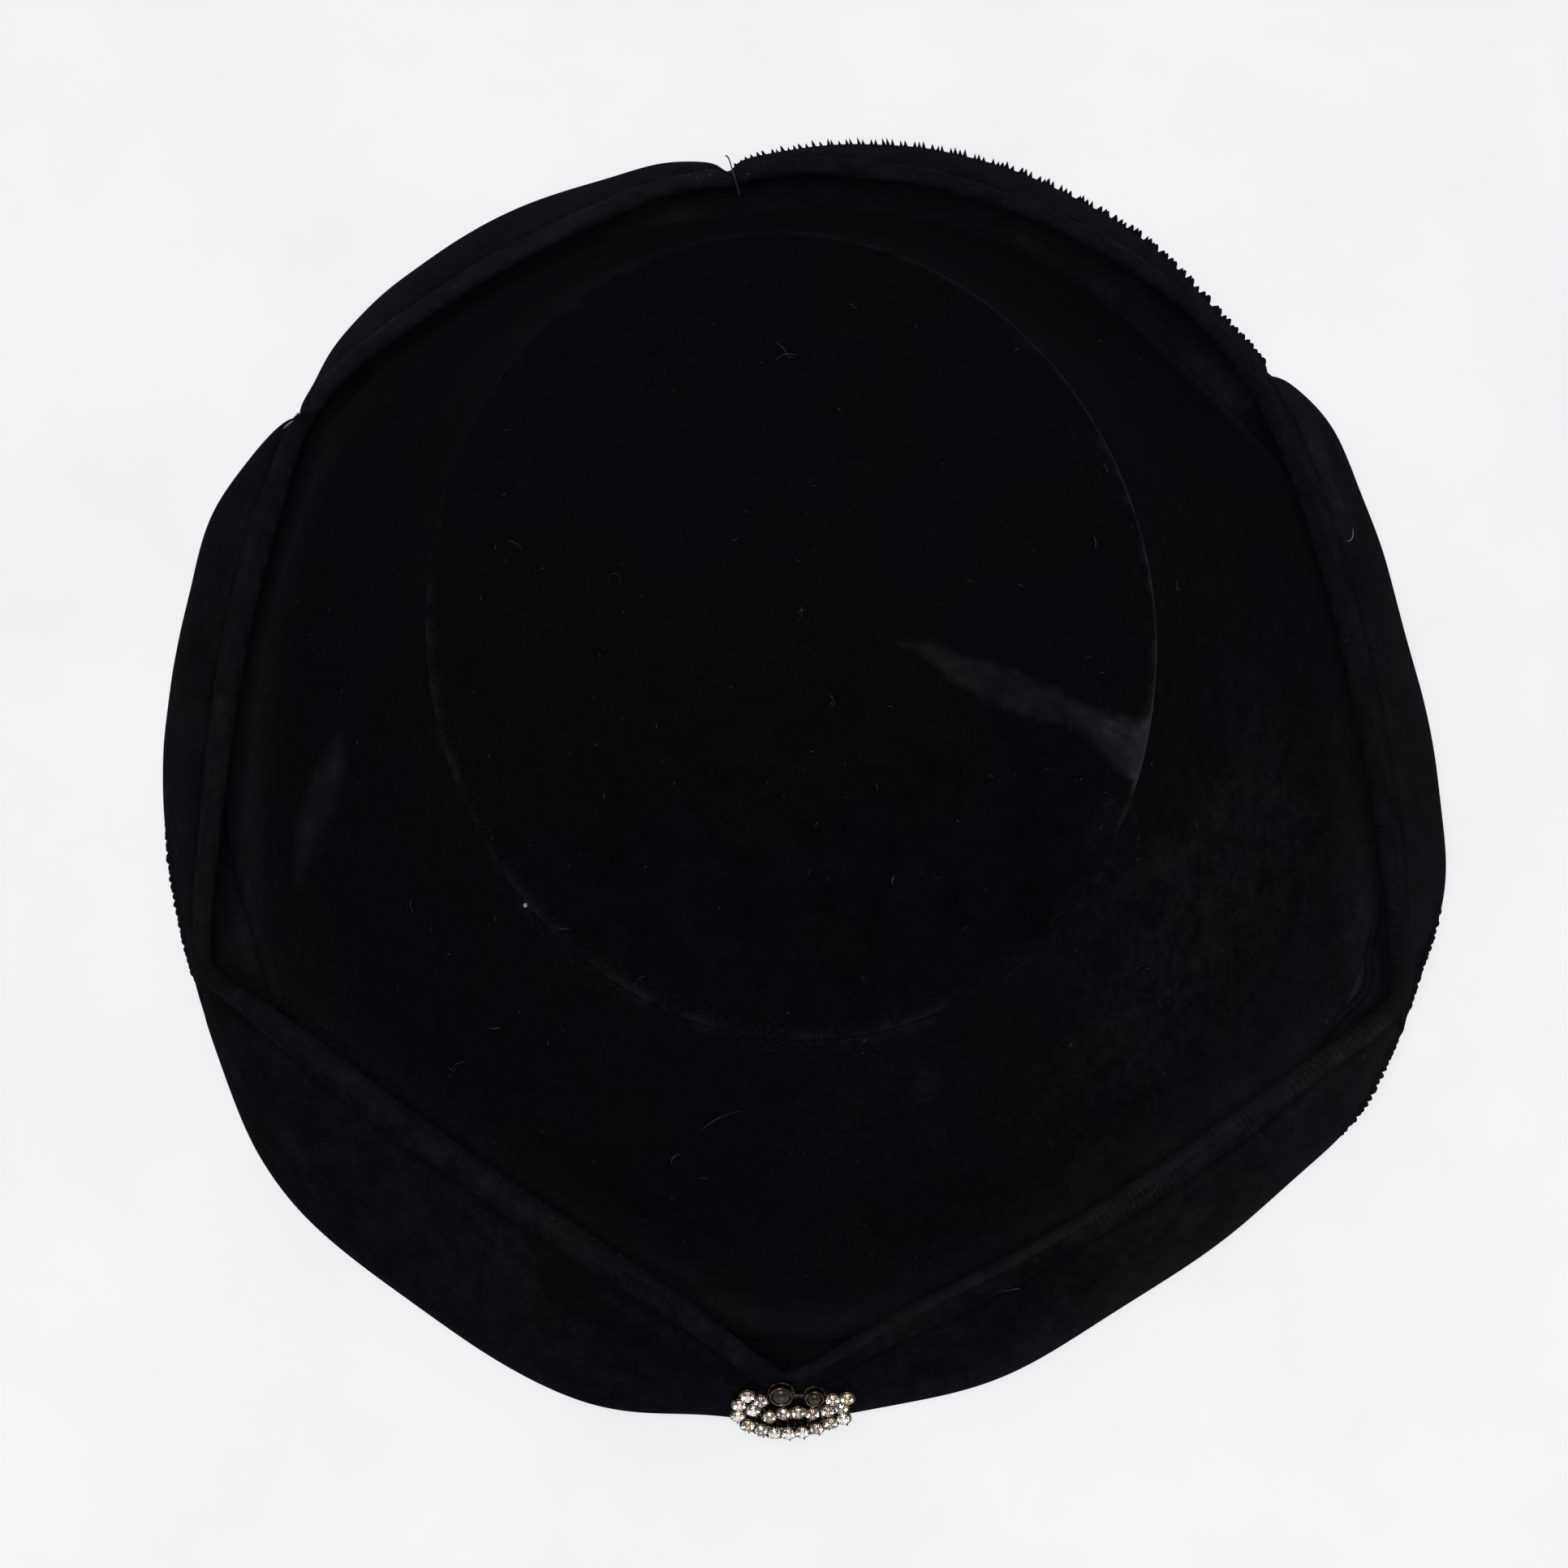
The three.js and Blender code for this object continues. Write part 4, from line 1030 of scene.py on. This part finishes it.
def build_tucks():
    """Narrow inner folds behind the panels' ends at the two front side notches."""
    shape = Shape()
    lit_tones = []
    for width, tone, depth, rise, nodes in TUCKS:
        path = curve_through([(math.radians(a), r, z) for a, r, z in nodes], 8)
        sections = []
        for k, (turned, radius, top) in enumerate(path):
            angle = math.degrees(turned)
            size = float(smooth(min(1.0, 0.04 + 0.11 * min(k, len(path) - 1 - k))))
            half = width * (0.4 + 0.6 * size)
            high = top - 4 + rise * size
            wall = inner_reach(angle, high - 0.5) - GAP
            middle = min(wall - half - 0.2, lerp(wall, radius, size))
            near, far = middle - half, middle + half
            drop = 0.4 * depth * (1 - size)
            top, high = top - drop, high - drop
            foot, sunk = top - depth, top - half
            against = lerp(near, side_reach(angle, foot) - 3 * GAP, size)
            ring = [polar(middle, sunk, half, math.pi * (1 - j / 8)) for j in range(9)]
            ring += [(lerp(far, wall, 0.35), lerp(top, high, 0.5) - half),
                     (lerp(far, wall, 0.75), high - 0.2), (wall, high), (wall, high - 2.0),
                     (lerp(against, wall, 0.5), foot - 1.0), (against, foot),
                     (lerp(against, near, 0.4), lerp(foot, sunk, 0.45)),
                     (lerp(against, near, 0.8), lerp(foot, sunk, 0.8))]
            sections.append([(*polar(0, 0, r, turned), z) for r, z in ring])
        sections = np.array(sections)
        sections += 0.2 * noise(sections, 7, 91)[..., None] * np.array([1.0, 1.0, 0.6])
        shape.add(*swept(sections))
        # painted light round each ring: a paler crest, and the skirt lifted out of its shade
        lit = [0.56] * 2 + [0.48] * 5 + [0.5] * 3 + [0.46, 0.44, 0.4, tone, 1.05 * tone, tone, 0.9 * tone]
        lit_tones.append(np.tile(lit, len(path)) * (1 + 0.25 * noise(sections.reshape(-1, 3), 4, 92)))
    velvet_extra("inner_folds", shape, np.concatenate(lit_tones), 0.35)


def build_fringe():
    """Ribs of longer pile over the outermost bend, seen as teeth along the outline."""
    shape = Shape()
    draw = random.Random(23)
    for name, start, end, height in FRINGES:
        face = outer_face(name)
        normals = outward(face)
        angles = panel_nets[name][2]
        angle = start
        while angle < end:
            column = min(int(np.searchsorted(angles, angle)), len(angles) - 1)
            rise = face[column, :, 2]
            low = int(np.argmax(rise > draw.uniform(7.5, 10.5)))
            high = int(np.argmax(rise > draw.uniform(17, 23)))
            across = np.array([-math.sin(math.radians(angle)), math.cos(math.radians(angle)), 0.0])
            tall = height * draw.uniform(0.8, 1.15) * min(1.0, 0.4 + min(angle - start, end - angle) / 6)
            lean = draw.uniform(0.1, 0.45) * tall
            sections = []
            for k, row in enumerate(np.linspace(low, high, FRINGE_ROWS).round().astype(int)):
                part = math.sin(math.pi * k / (FRINGE_ROWS - 1)) ** 0.7 + 0.02
                foot = face[column, row] - 0.25 * normals[column, row]
                tip = foot + normals[column, row] * (0.25 + tall * part) + across * lean * part
                sections.append([foot - across * FRINGE_HALF, tip, foot + across * FRINGE_HALF])
            shape.add(*swept(np.array(sections)))
            angle += FRINGE_PITCH * draw.uniform(0.88, 1.12) / 2.45
    velvet_extra("pile_ribs", shape, 0.42 + 0.18 * noise(shape.all_points(), 3, 93), 0.5)


def cloth_surface():
    """All upper cloth points with their normals, for what lies on the cloth."""
    up = np.array([0.0, 0.0, 1.0])
    pairs = [(tip_net, up), (side_net, outward(side_net))]
    for panel in PANELS:
        face = outer_face(panel["name"])
        net, count, _ = panel_nets[panel["name"]]
        pairs += [(face, outward(face)), (net[:, count:count + NOSE], up)]
    return (np.concatenate([net.reshape(-1, 3) for net, _ in pairs]),
            np.concatenate([np.broadcast_to(normal, net.shape).reshape(-1, 3) for net, normal in pairs]))


def resting(x, y):
    """Highest place of the cloth at a place in plan, and the normal there."""
    away = np.hypot(cloth_points[:, 0] - x, cloth_points[:, 1] - y)
    close = np.where(away < max(1.3, away.min() + 0.2))[0]
    best = close[np.argmax(cloth_points[close, 2])]
    return cloth_points[best], cloth_normals[best]


def strand(shape, x, y, way, length, bend, radius, steps=6, sides=4):
    """Fine hair on the cloth: it sets out at angle way and turns by bend over its length."""
    spot, normal = resting(x, y)
    first = np.array([*polar(0, 0, 1, math.radians(way)), 0.0])
    first -= normal * (first @ normal)
    first /= np.linalg.norm(first)
    turns = np.radians(bend) * (np.arange(steps) + 0.5) / steps
    run, drift = (np.append(0, np.cumsum(part(turns)))[:, None] * length / steps
                  for part in (np.cos, np.sin))
    path = spot + run * first + drift * np.cross(normal, first) + normal * (0.1 + radius)
    shape.add(*tube(path, radius * np.sin(np.linspace(0.35, math.pi - 0.35, steps + 1)), sides))


def build_lint():
    """Specks, hairs and loose threads on the pile, the seam's fuzz, and a few tacking stitches."""
    dim, pale, fuzz = Shape(), Shape(), Shape()
    draw = random.Random(41)
    for x, y in SPECKS:
        for _ in range(draw.choice((1, 2, 2, 3))):
            strand(dim, x + draw.gauss(0, 0.5), y + draw.gauss(0, 0.5), draw.uniform(0, 360),
                   draw.uniform(0.8, 2.0), draw.uniform(-120, 120), draw.uniform(0.07, 0.12))
    for _ in range(LINT_COUNT):
        angle = draw.uniform(0, 2 * math.pi)
        x, y = polar(0, 0, LINT_REACH * math.sqrt(draw.uniform(0, 1)), angle)
        if y > 25 - 0.4 * x and draw.random() < 0.5:
            continue
        strand(dim, x, y, draw.uniform(0, 360), draw.uniform(0.3, 1.5), draw.uniform(-90, 90),
               draw.uniform(0.05, 0.09), steps=4)
    for row in HAIRS:
        strand(dim, *row, steps=10)
    # fuzz along the softer part of the seam
    for _ in range(FUZZ_COUNT):
        angle = draw.choice((draw.uniform(-175, -38), draw.uniform(-135, -70)))
        reach = float(tip_radius(angle)) + draw.gauss(0.5, 1.1)
        x, y = polar(0, 0, reach, math.radians(angle))
        strand(fuzz, x, y, angle + draw.uniform(-70, 70) + draw.choice((0, 180)), draw.uniform(0.6, 1.9),
               draw.uniform(-60, 60), draw.uniform(0.07, 0.13), steps=4, sides=3)
    velvet_extra("seam_fuzz", fuzz, 0.5, 0.6)
    for row in THREADS:
        strand(pale, *row, steps=8, sides=6)
    for x, y in STITCHES:
        strand(dim, x, y, draw.uniform(20, 60), 0.8, 20, 0.17, steps=4, sides=6)
    dim.add(*tube(curve_through(TACK, 5), 0.17, 6))
    placed(add_mesh("lint", dim.all_points(), dim.faces, lint), None)
    placed(add_mesh("loose_threads", pale.all_points(), pale.faces, thread), None)


# Brooch: u to the right, v up along its leaning plane, w out of the cloth


def brooch_place(points):
    lean = math.radians(BROOCH_LEAN)
    u, v, w = points[..., 0], points[..., 1], points[..., 2]
    y = v * math.sin(lean) - w * math.cos(lean)
    z = v * math.cos(lean) + w * math.sin(lean)
    return np.stack([u, y, z], axis=-1) + np.array(BROOCH_CENTRE)


def mounted(name, shape, material, slot, *nodes, values=None, flat=False):
    """Mesh of the brooch, from a shape in the brooch's own plane."""
    obj = add_mesh(name, brooch_place(shape.all_points()), shape.faces, material, values, flat)
    placed(obj, slot, *nodes)


class Shape:
    """Points and faces gathered from several closed bodies."""

    def __init__(self):
        self.points = []
        self.faces = []
        self.count = 0

    def add(self, points, faces):
        self.points.append(np.asarray(points, float).reshape(-1, 3))
        self.faces += [tuple(int(i) + self.count for i in face) for face in faces]
        self.count += len(self.points[-1])
        return self

    def all_points(self):
        return np.concatenate(self.points)


def lathe(profile, sides, u, v):
    """Body turned about w; the profile runs from its lowest pole to its highest, as (radius, w)."""
    turns = 2 * np.pi * np.arange(sides) / sides
    net = np.array([[(*polar(u, v, r, turn), h) for turn in turns] for r, h in profile[1:-1]])
    return capped(net, (u, v, profile[0][1]), (u, v, profile[-1][1]))


def tube(path, radii, sides):
    """Closed tube along a path, its ends drawn to points."""
    path = np.asarray(path, float)
    radii = np.broadcast_to(radii, len(path))
    along = np.gradient(path, axis=0)
    along /= np.linalg.norm(along, axis=1, keepdims=True)
    across = np.cross(along[0], (0.31, 0.52, 0.79))
    turn = 2 * np.pi * np.arange(sides)[:, None] / sides
    rings = []
    for spot, way, radius in zip(path, along, radii):
        across = across - way * (across @ way)
        across /= np.linalg.norm(across)
        rings.append(spot + radius * (np.cos(turn) * across + np.sin(turn) * np.cross(way, across)))
    first, last = path[0] - along[0] * radii[0] * 0.7, path[-1] + along[-1] * radii[-1] * 0.7
    return capped(np.stack(rings), first, last)


def curve_through(nodes, steps):
    """Smooth path through a few places."""
    nodes = np.asarray(nodes, float)
    padded = np.concatenate([2 * nodes[:1] - nodes[1:2], nodes, 2 * nodes[-1:] - nodes[-2:-1]])
    out = []
    for k in range(len(nodes) - 1):
        a, b, c, d = padded[k:k + 4]
        for t in np.arange(steps) / steps:
            out.append(0.5 * (2 * b + (c - a) * t + (2 * a - 5 * b + 4 * c - d) * t * t
                              + (3 * b - a - 3 * c + d) * t ** 3))
    out.append(nodes[-1])
    return np.array(out)


def arc_places(stones, start, through, end):
    return [tuple(lerp(a, c, part) + (b - (a + c) / 2) * 4 * part * (1 - part)
                  for a, b, c in zip(start, through, end)) for part in np.linspace(0, 1, stones)]


STONE_PLACES = arc_places(*ROWS[0]) + arc_places(*ROWS[1]) + FANS


def brilliant(u, v, turn):
    """Eight-fold brilliant: table, stars, kites, upper halves, girdle, lower halves and pavilion mains."""
    table = STONE_TOP + TABLE_RISE
    step = math.pi / 8

    def ring(radius, height, start=0, pace=2, count=8):
        return [(*polar(u, v, radius, turn + (start + pace * k) * step), height) for k in range(count)]

    kite = TABLE_RADIUS + 0.55 * (STONE - TABLE_RADIUS)
    points = ring(TABLE_RADIUS, table) + ring(kite / math.cos(step), lerp(table, STONE_TOP, 0.55), 1)
    points += ring(STONE, STONE_TOP, 0, 1, 16) + ring(STONE, GIRDLE_LOW, 0, 1, 16)
    points += ring(0.28 * STONE / math.cos(step), lerp(CULET, GIRDLE_LOW, 0.28), 1) + [(u, v, CULET)]
    faces = [tuple(range(8))]
    for k in range(8):
        before = (k - 1) % 8
        upper, lower = 16 + 2 * k, 32 + 2 * k
        upper_next, lower_next = 16 + (2 * k + 2) % 16, 32 + (2 * k + 2) % 16
        faces += [(k, 8 + k, (k + 1) % 8), (k, 8 + before, upper, 8 + k), (8 + k, upper, upper + 1),
                  (8 + k, upper + 1, upper_next), (48 + k, lower + 1, lower),
                  (48 + k, lower_next, lower + 1), (48 + before, 56, 48 + k, lower)]
    for k in range(16):
        after = (k + 1) % 16
        faces.append((16 + k, 32 + k, 32 + after, 16 + after))
    return np.array(points), faces


# Prong over a stone's edge: place out from the stone's middle, height, radius
CLAW = [(1.60, 0.7, 0.17), (1.64, 1.5, 0.18), (1.60, STONE_TOP, 0.17), (1.44, STONE_TOP + 0.24, 0.16),
        (1.24, STONE_TOP + 0.30, 0.11)]
CLAWS = 3
WEB_HEIGHT = 0.3
LINK_RADIUS = 0.5


def claw(u, v, angle):
    """Small prong that bends over a stone's girdle."""
    return tube([(*polar(u, v, r, angle), h) for r, h, _ in CLAW], [radius for _, _, radius in CLAW], 6)


def build_stones():
    draw = random.Random(7)
    for index, (u, v) in enumerate(STONE_PLACES):
        name = f"stone_{index + 1:02d}"
        points, faces = brilliant(u, v, draw.uniform(0, math.pi / 4))
        tilt = np.array([draw.uniform(-0.05, 0.05), draw.uniform(-0.05, 0.05)])
        points[:, 2] += (points[:, :2] - (u, v)) @ tilt
        mounted(name + "_cut", Shape().add(points, faces), clear, "clear_stone", name, flat=True)
    floor, shoulder = CABOCHON_FLOOR, CABOCHON_FLOOR + CABOCHON_WALL
    for name, u, v, radius, _ in CABOCHONS:
        dome = [(radius * math.cos(t), shoulder + CABOCHON_RISE * math.sin(t))
                for t in np.radians(np.linspace(0, 84, 12))]
        foot = [(0, floor), (radius - 0.1, floor), (radius, floor + 0.1)]
        body = lathe([*foot, *dome, (0, shoulder + CABOCHON_RISE)], 40, u, v)
        mounted(name + "_polished", Shape().add(*body), smoky, "smoky_stone", name)


def gallery():
    """Thin openwork web that joins the two rows of stones."""
    low = curve_through(STONE_PLACES[:7], 4)
    high = curve_through([(-8.2, 2.0)] + STONE_PLACES[7:11] + [(7.6, 2.0)], 4)
    rows = []
    for part in np.linspace(0, 1, 25):
        a, b = (line[int(round(part * (len(line) - 1)))] for line in (low, high))
        thick = 0.16 * math.sin(math.pi * (0.06 + 0.88 * part)) + 0.06
        bottom, top = WEB_HEIGHT - thick, WEB_HEIGHT + thick
        rows.append([(*a, bottom), (*b, bottom), (*b, top), (*a, top)])
    return swept(np.array(rows))


CUP = [(0, 0), (1.30, 0), (1.42, 0.08), (1.46, 0.35), (1.38, 0.7), (1.42, 1.1), (1.60, 1.7), (1.70, 1.86),
       (1.70, 1.96), (1.56, 1.98), (1.46, 1.9), (0.75, 1.0), (0.30, 0.62), (0, 0.6)]
# Bezel: (radius past its own, w), then (radius past the stone's, w)
BEZEL_OUTSIDE = [(-0.2, 0), (0, 0.15), (0, 0.5), (-0.12, 0.62), (-0.06, 1.3), (0, 1.9),
                 (-0.06, 2.1), (-0.2, 2.2)]
BEZEL_INSIDE = [(0.13, 2.16), (0.08, 2.0), (0.08, 0.9), (-0.22, 0.75)]
BEAD = [(0, 0.28), (0.2, 0.36), (0.29, 0.58), (0.2, 0.80), (0, 0.88)]
BEAD_PITCH = 0.62
GRAIN = [(0, 1.2), (0.24, 1.3), (0.34, 1.56), (0.26, 1.82), (0, 1.92)]
DULL = 0.85


def build_setting():
    shape = Shape()
    draw = random.Random(11)
    for u, v in STONE_PLACES:
        shape.add(*lathe(CUP, 20, u, v))
        start = draw.uniform(0, math.pi / 2)
        for k in range(CLAWS):
            shape.add(*claw(u, v, start + k * 2 * math.pi / CLAWS))
    first = shape.count
    for _, u, v, radius, bezel in CABOCHONS:
        ring = [(bezel + r, h) for r, h in BEZEL_OUTSIDE] + [(radius + r, h) for r, h in BEZEL_INSIDE]
        shape.add(*lathe([(0, 0), *ring, (0, 0.75)], 48, u, v))
        reach = bezel + 0.04
        beads = int(round(2 * math.pi * reach / BEAD_PITCH))
        for k in range(beads):
            shape.add(*lathe(BEAD, 8, *polar(u, v, reach, 2 * math.pi * k / beads)))
    for start, end in LINKS:
        middle = [(start[0] + end[0]) / 2, (start[1] + end[1]) / 2, 0.42]
        shape.add(*tube(curve_through([(*start, 0.36), middle, (*end, 0.36)], 5), LINK_RADIUS, 10))
    shape.add(*gallery())
    last = shape.count
    # grains between the stones
    for (u0, v0), (u1, v1) in zip(STONE_PLACES[:6], STONE_PLACES[1:7]):
        for side in (-1, 1):
            away = np.array([v0 - v1, u1 - u0])
            away = away / np.linalg.norm(away) * side * 1.15
            shape.add(*lathe(GRAIN, 9, (u0 + u1) / 2 + away[0], (v0 + v1) / 2 + away[1]))
    dull = np.zeros(shape.count)
    dull[first:last] = DULL
    mounted("brooch_setting_cast", shape, metal, "white_metal", "brooch_setting", values={"dull": dull})


def build_foils():
    """Bright cups under the cut stones, as backed glass has."""
    shape = Shape()
    brim = GIRDLE_LOW - 0.12
    cup = [(0, CULET - 0.28), (0.2, CULET - 0.26), (STONE + 0.03, brim - 0.05), (STONE + 0.05, brim),
           (STONE + 0.01, brim), (0.16, CULET - 0.1), (0, CULET - 0.12)]
    for u, v in STONE_PLACES:
        shape.add(*lathe(cup, 16, u, v))
    mounted("stone_foils", shape, foil, None, flat=True)


def build_pin():
    shape = Shape()
    half, v, depth = PIN["half"], PIN["v"], PIN["depth"]
    wire = [(u, v, -depth) for u in np.linspace(-half, half, 24)]
    shape.add(*tube(wire, [PIN["radius"] * min(1.0, 0.25 + 0.12 * k) for k in range(24)], 12))
    knuckle = [(half, v + t, -depth) for t in np.linspace(-0.68, 0.68, 5)]
    shape.add(*tube(knuckle, (0.55, 0.6, 0.6, 0.6, 0.55), 14))
    foot = [(0, -depth), (0.62, -depth + 0.02), (0.68, -0.75), (0.6, -0.42), (0.5, -0.36), (0, -0.34)]
    for end in (-half, half):
        shape.add(*lathe(foot, 16, end, v))
    mounted("brooch_pin_wire", shape, pin_metal, "white_metal", "brooch_pin")


tip_net = crown_tip()
side_net = crown_side()
underbrim()
panel_nets = {panel["name"]: panel_body(panel) for panel in PANELS}
build_tucks()
build_fringe()
cloth_points, cloth_normals = cloth_surface()
build_lint()
build_stones()
build_setting()
build_foils()
build_pin()


# Stage

FLOOR_REACH = 4.0
LIT_PLACE = (0, 0, 0.03)
# Lamps: name, place, size, power
LAMPS = [("key", (-0.10, -0.45, 1.70), 0.6, 22.0), ("back", (0.25, 0.9, 1.5), 0.6, 4.0),
         ("front", (0.12, -1.6, 0.24), 0.4, 3.0), ("left", (-1.5, -0.5, 0.9), 0.5, 2.0),
         ("right", (1.4, -0.2, 1.0), 0.5, 3.0)]


def build_stage():
    mesh = bpy.data.meshes.new("floor")
    corners = [(x, y, 0) for x, y in ((-1, -1), (1, -1), (1, 1), (-1, 1))]
    mesh.from_pydata([(x * FLOOR_REACH, y * FLOOR_REACH, z) for x, y, z in corners], [], [(0, 1, 2, 3)])
    paint = Paint("pale_floor", {"Roughness": 1.0, "Specular IOR Level": 0.0, "Emission Strength": 0.86})
    cloud = paint.noise(16, 5, 0.6)
    paint.shade({"Base Color": paint.ramp(cloud, [(0.38, (0.13, 0.13, 0.13)), (0.62, (0.14, 0.14, 0.14))]),
                 "Emission Color": paint.ramp(cloud, [(0.38, (0.855, 0.868, 0.880)),
                                                      (0.62, (0.885, 0.895, 0.905))])})
    mesh.materials.append(paint.made)
    linked("floor", mesh)


def build_light():
    world = bpy.data.worlds.new("studio")
    bpy.context.scene.world = world
    world.use_nodes = True
    tree = world.node_tree
    split = tree.nodes.new("ShaderNodeSeparateXYZ")
    fill(tree, split, {0: tree.nodes.new("ShaderNodeTexCoord").outputs["Generated"]})
    colour = ramp_node(tree, split.outputs["Z"], [(0.0, (0.86, 0.87, 0.88)), (0.18, (0.60, 0.61, 0.62)),
                                                  (0.45, (0.11, 0.11, 0.115))])
    fill(tree, tree.nodes["Background"], {"Color": colour, "Strength": 1.0})
    for name, place, size, power in LAMPS:
        lamp = bpy.data.lights.new(name, "AREA")
        lamp.size = size
        lamp.energy = power
        aim(linked(name, lamp), place, LIT_PLACE)


def aim(obj, place, target):
    obj.location = place
    obj.rotation_euler = (Vector(place) - Vector(target)).to_track_quat("Z", "Y").to_euler()


CAMERA_TARGET = (-4.0, -10.0, 20.0)  # in the hat's frame
CAMERA_ELEVATION = 73.0
CAMERA_DISTANCE = 0.9
CAMERA_LENS = 95.26
CAMERA_SENSOR = 36.0


def build_camera():
    camera = bpy.data.cameras.new("camera")
    camera.lens = CAMERA_LENS
    camera.sensor_width = CAMERA_SENSOR
    obj = linked("camera", camera)
    lift = math.radians(CAMERA_ELEVATION)
    x, y, z = ((np.array(CAMERA_TARGET) + SHIFT) * MM).tolist()
    aim(obj, (x, y - CAMERA_DISTANCE * math.cos(lift), z + CAMERA_DISTANCE * math.sin(lift)), (x, y, z))
    bpy.context.scene.camera = obj


build_stage()
build_light()
build_camera()
bpy.context.scene.view_settings.view_transform = "Standard"
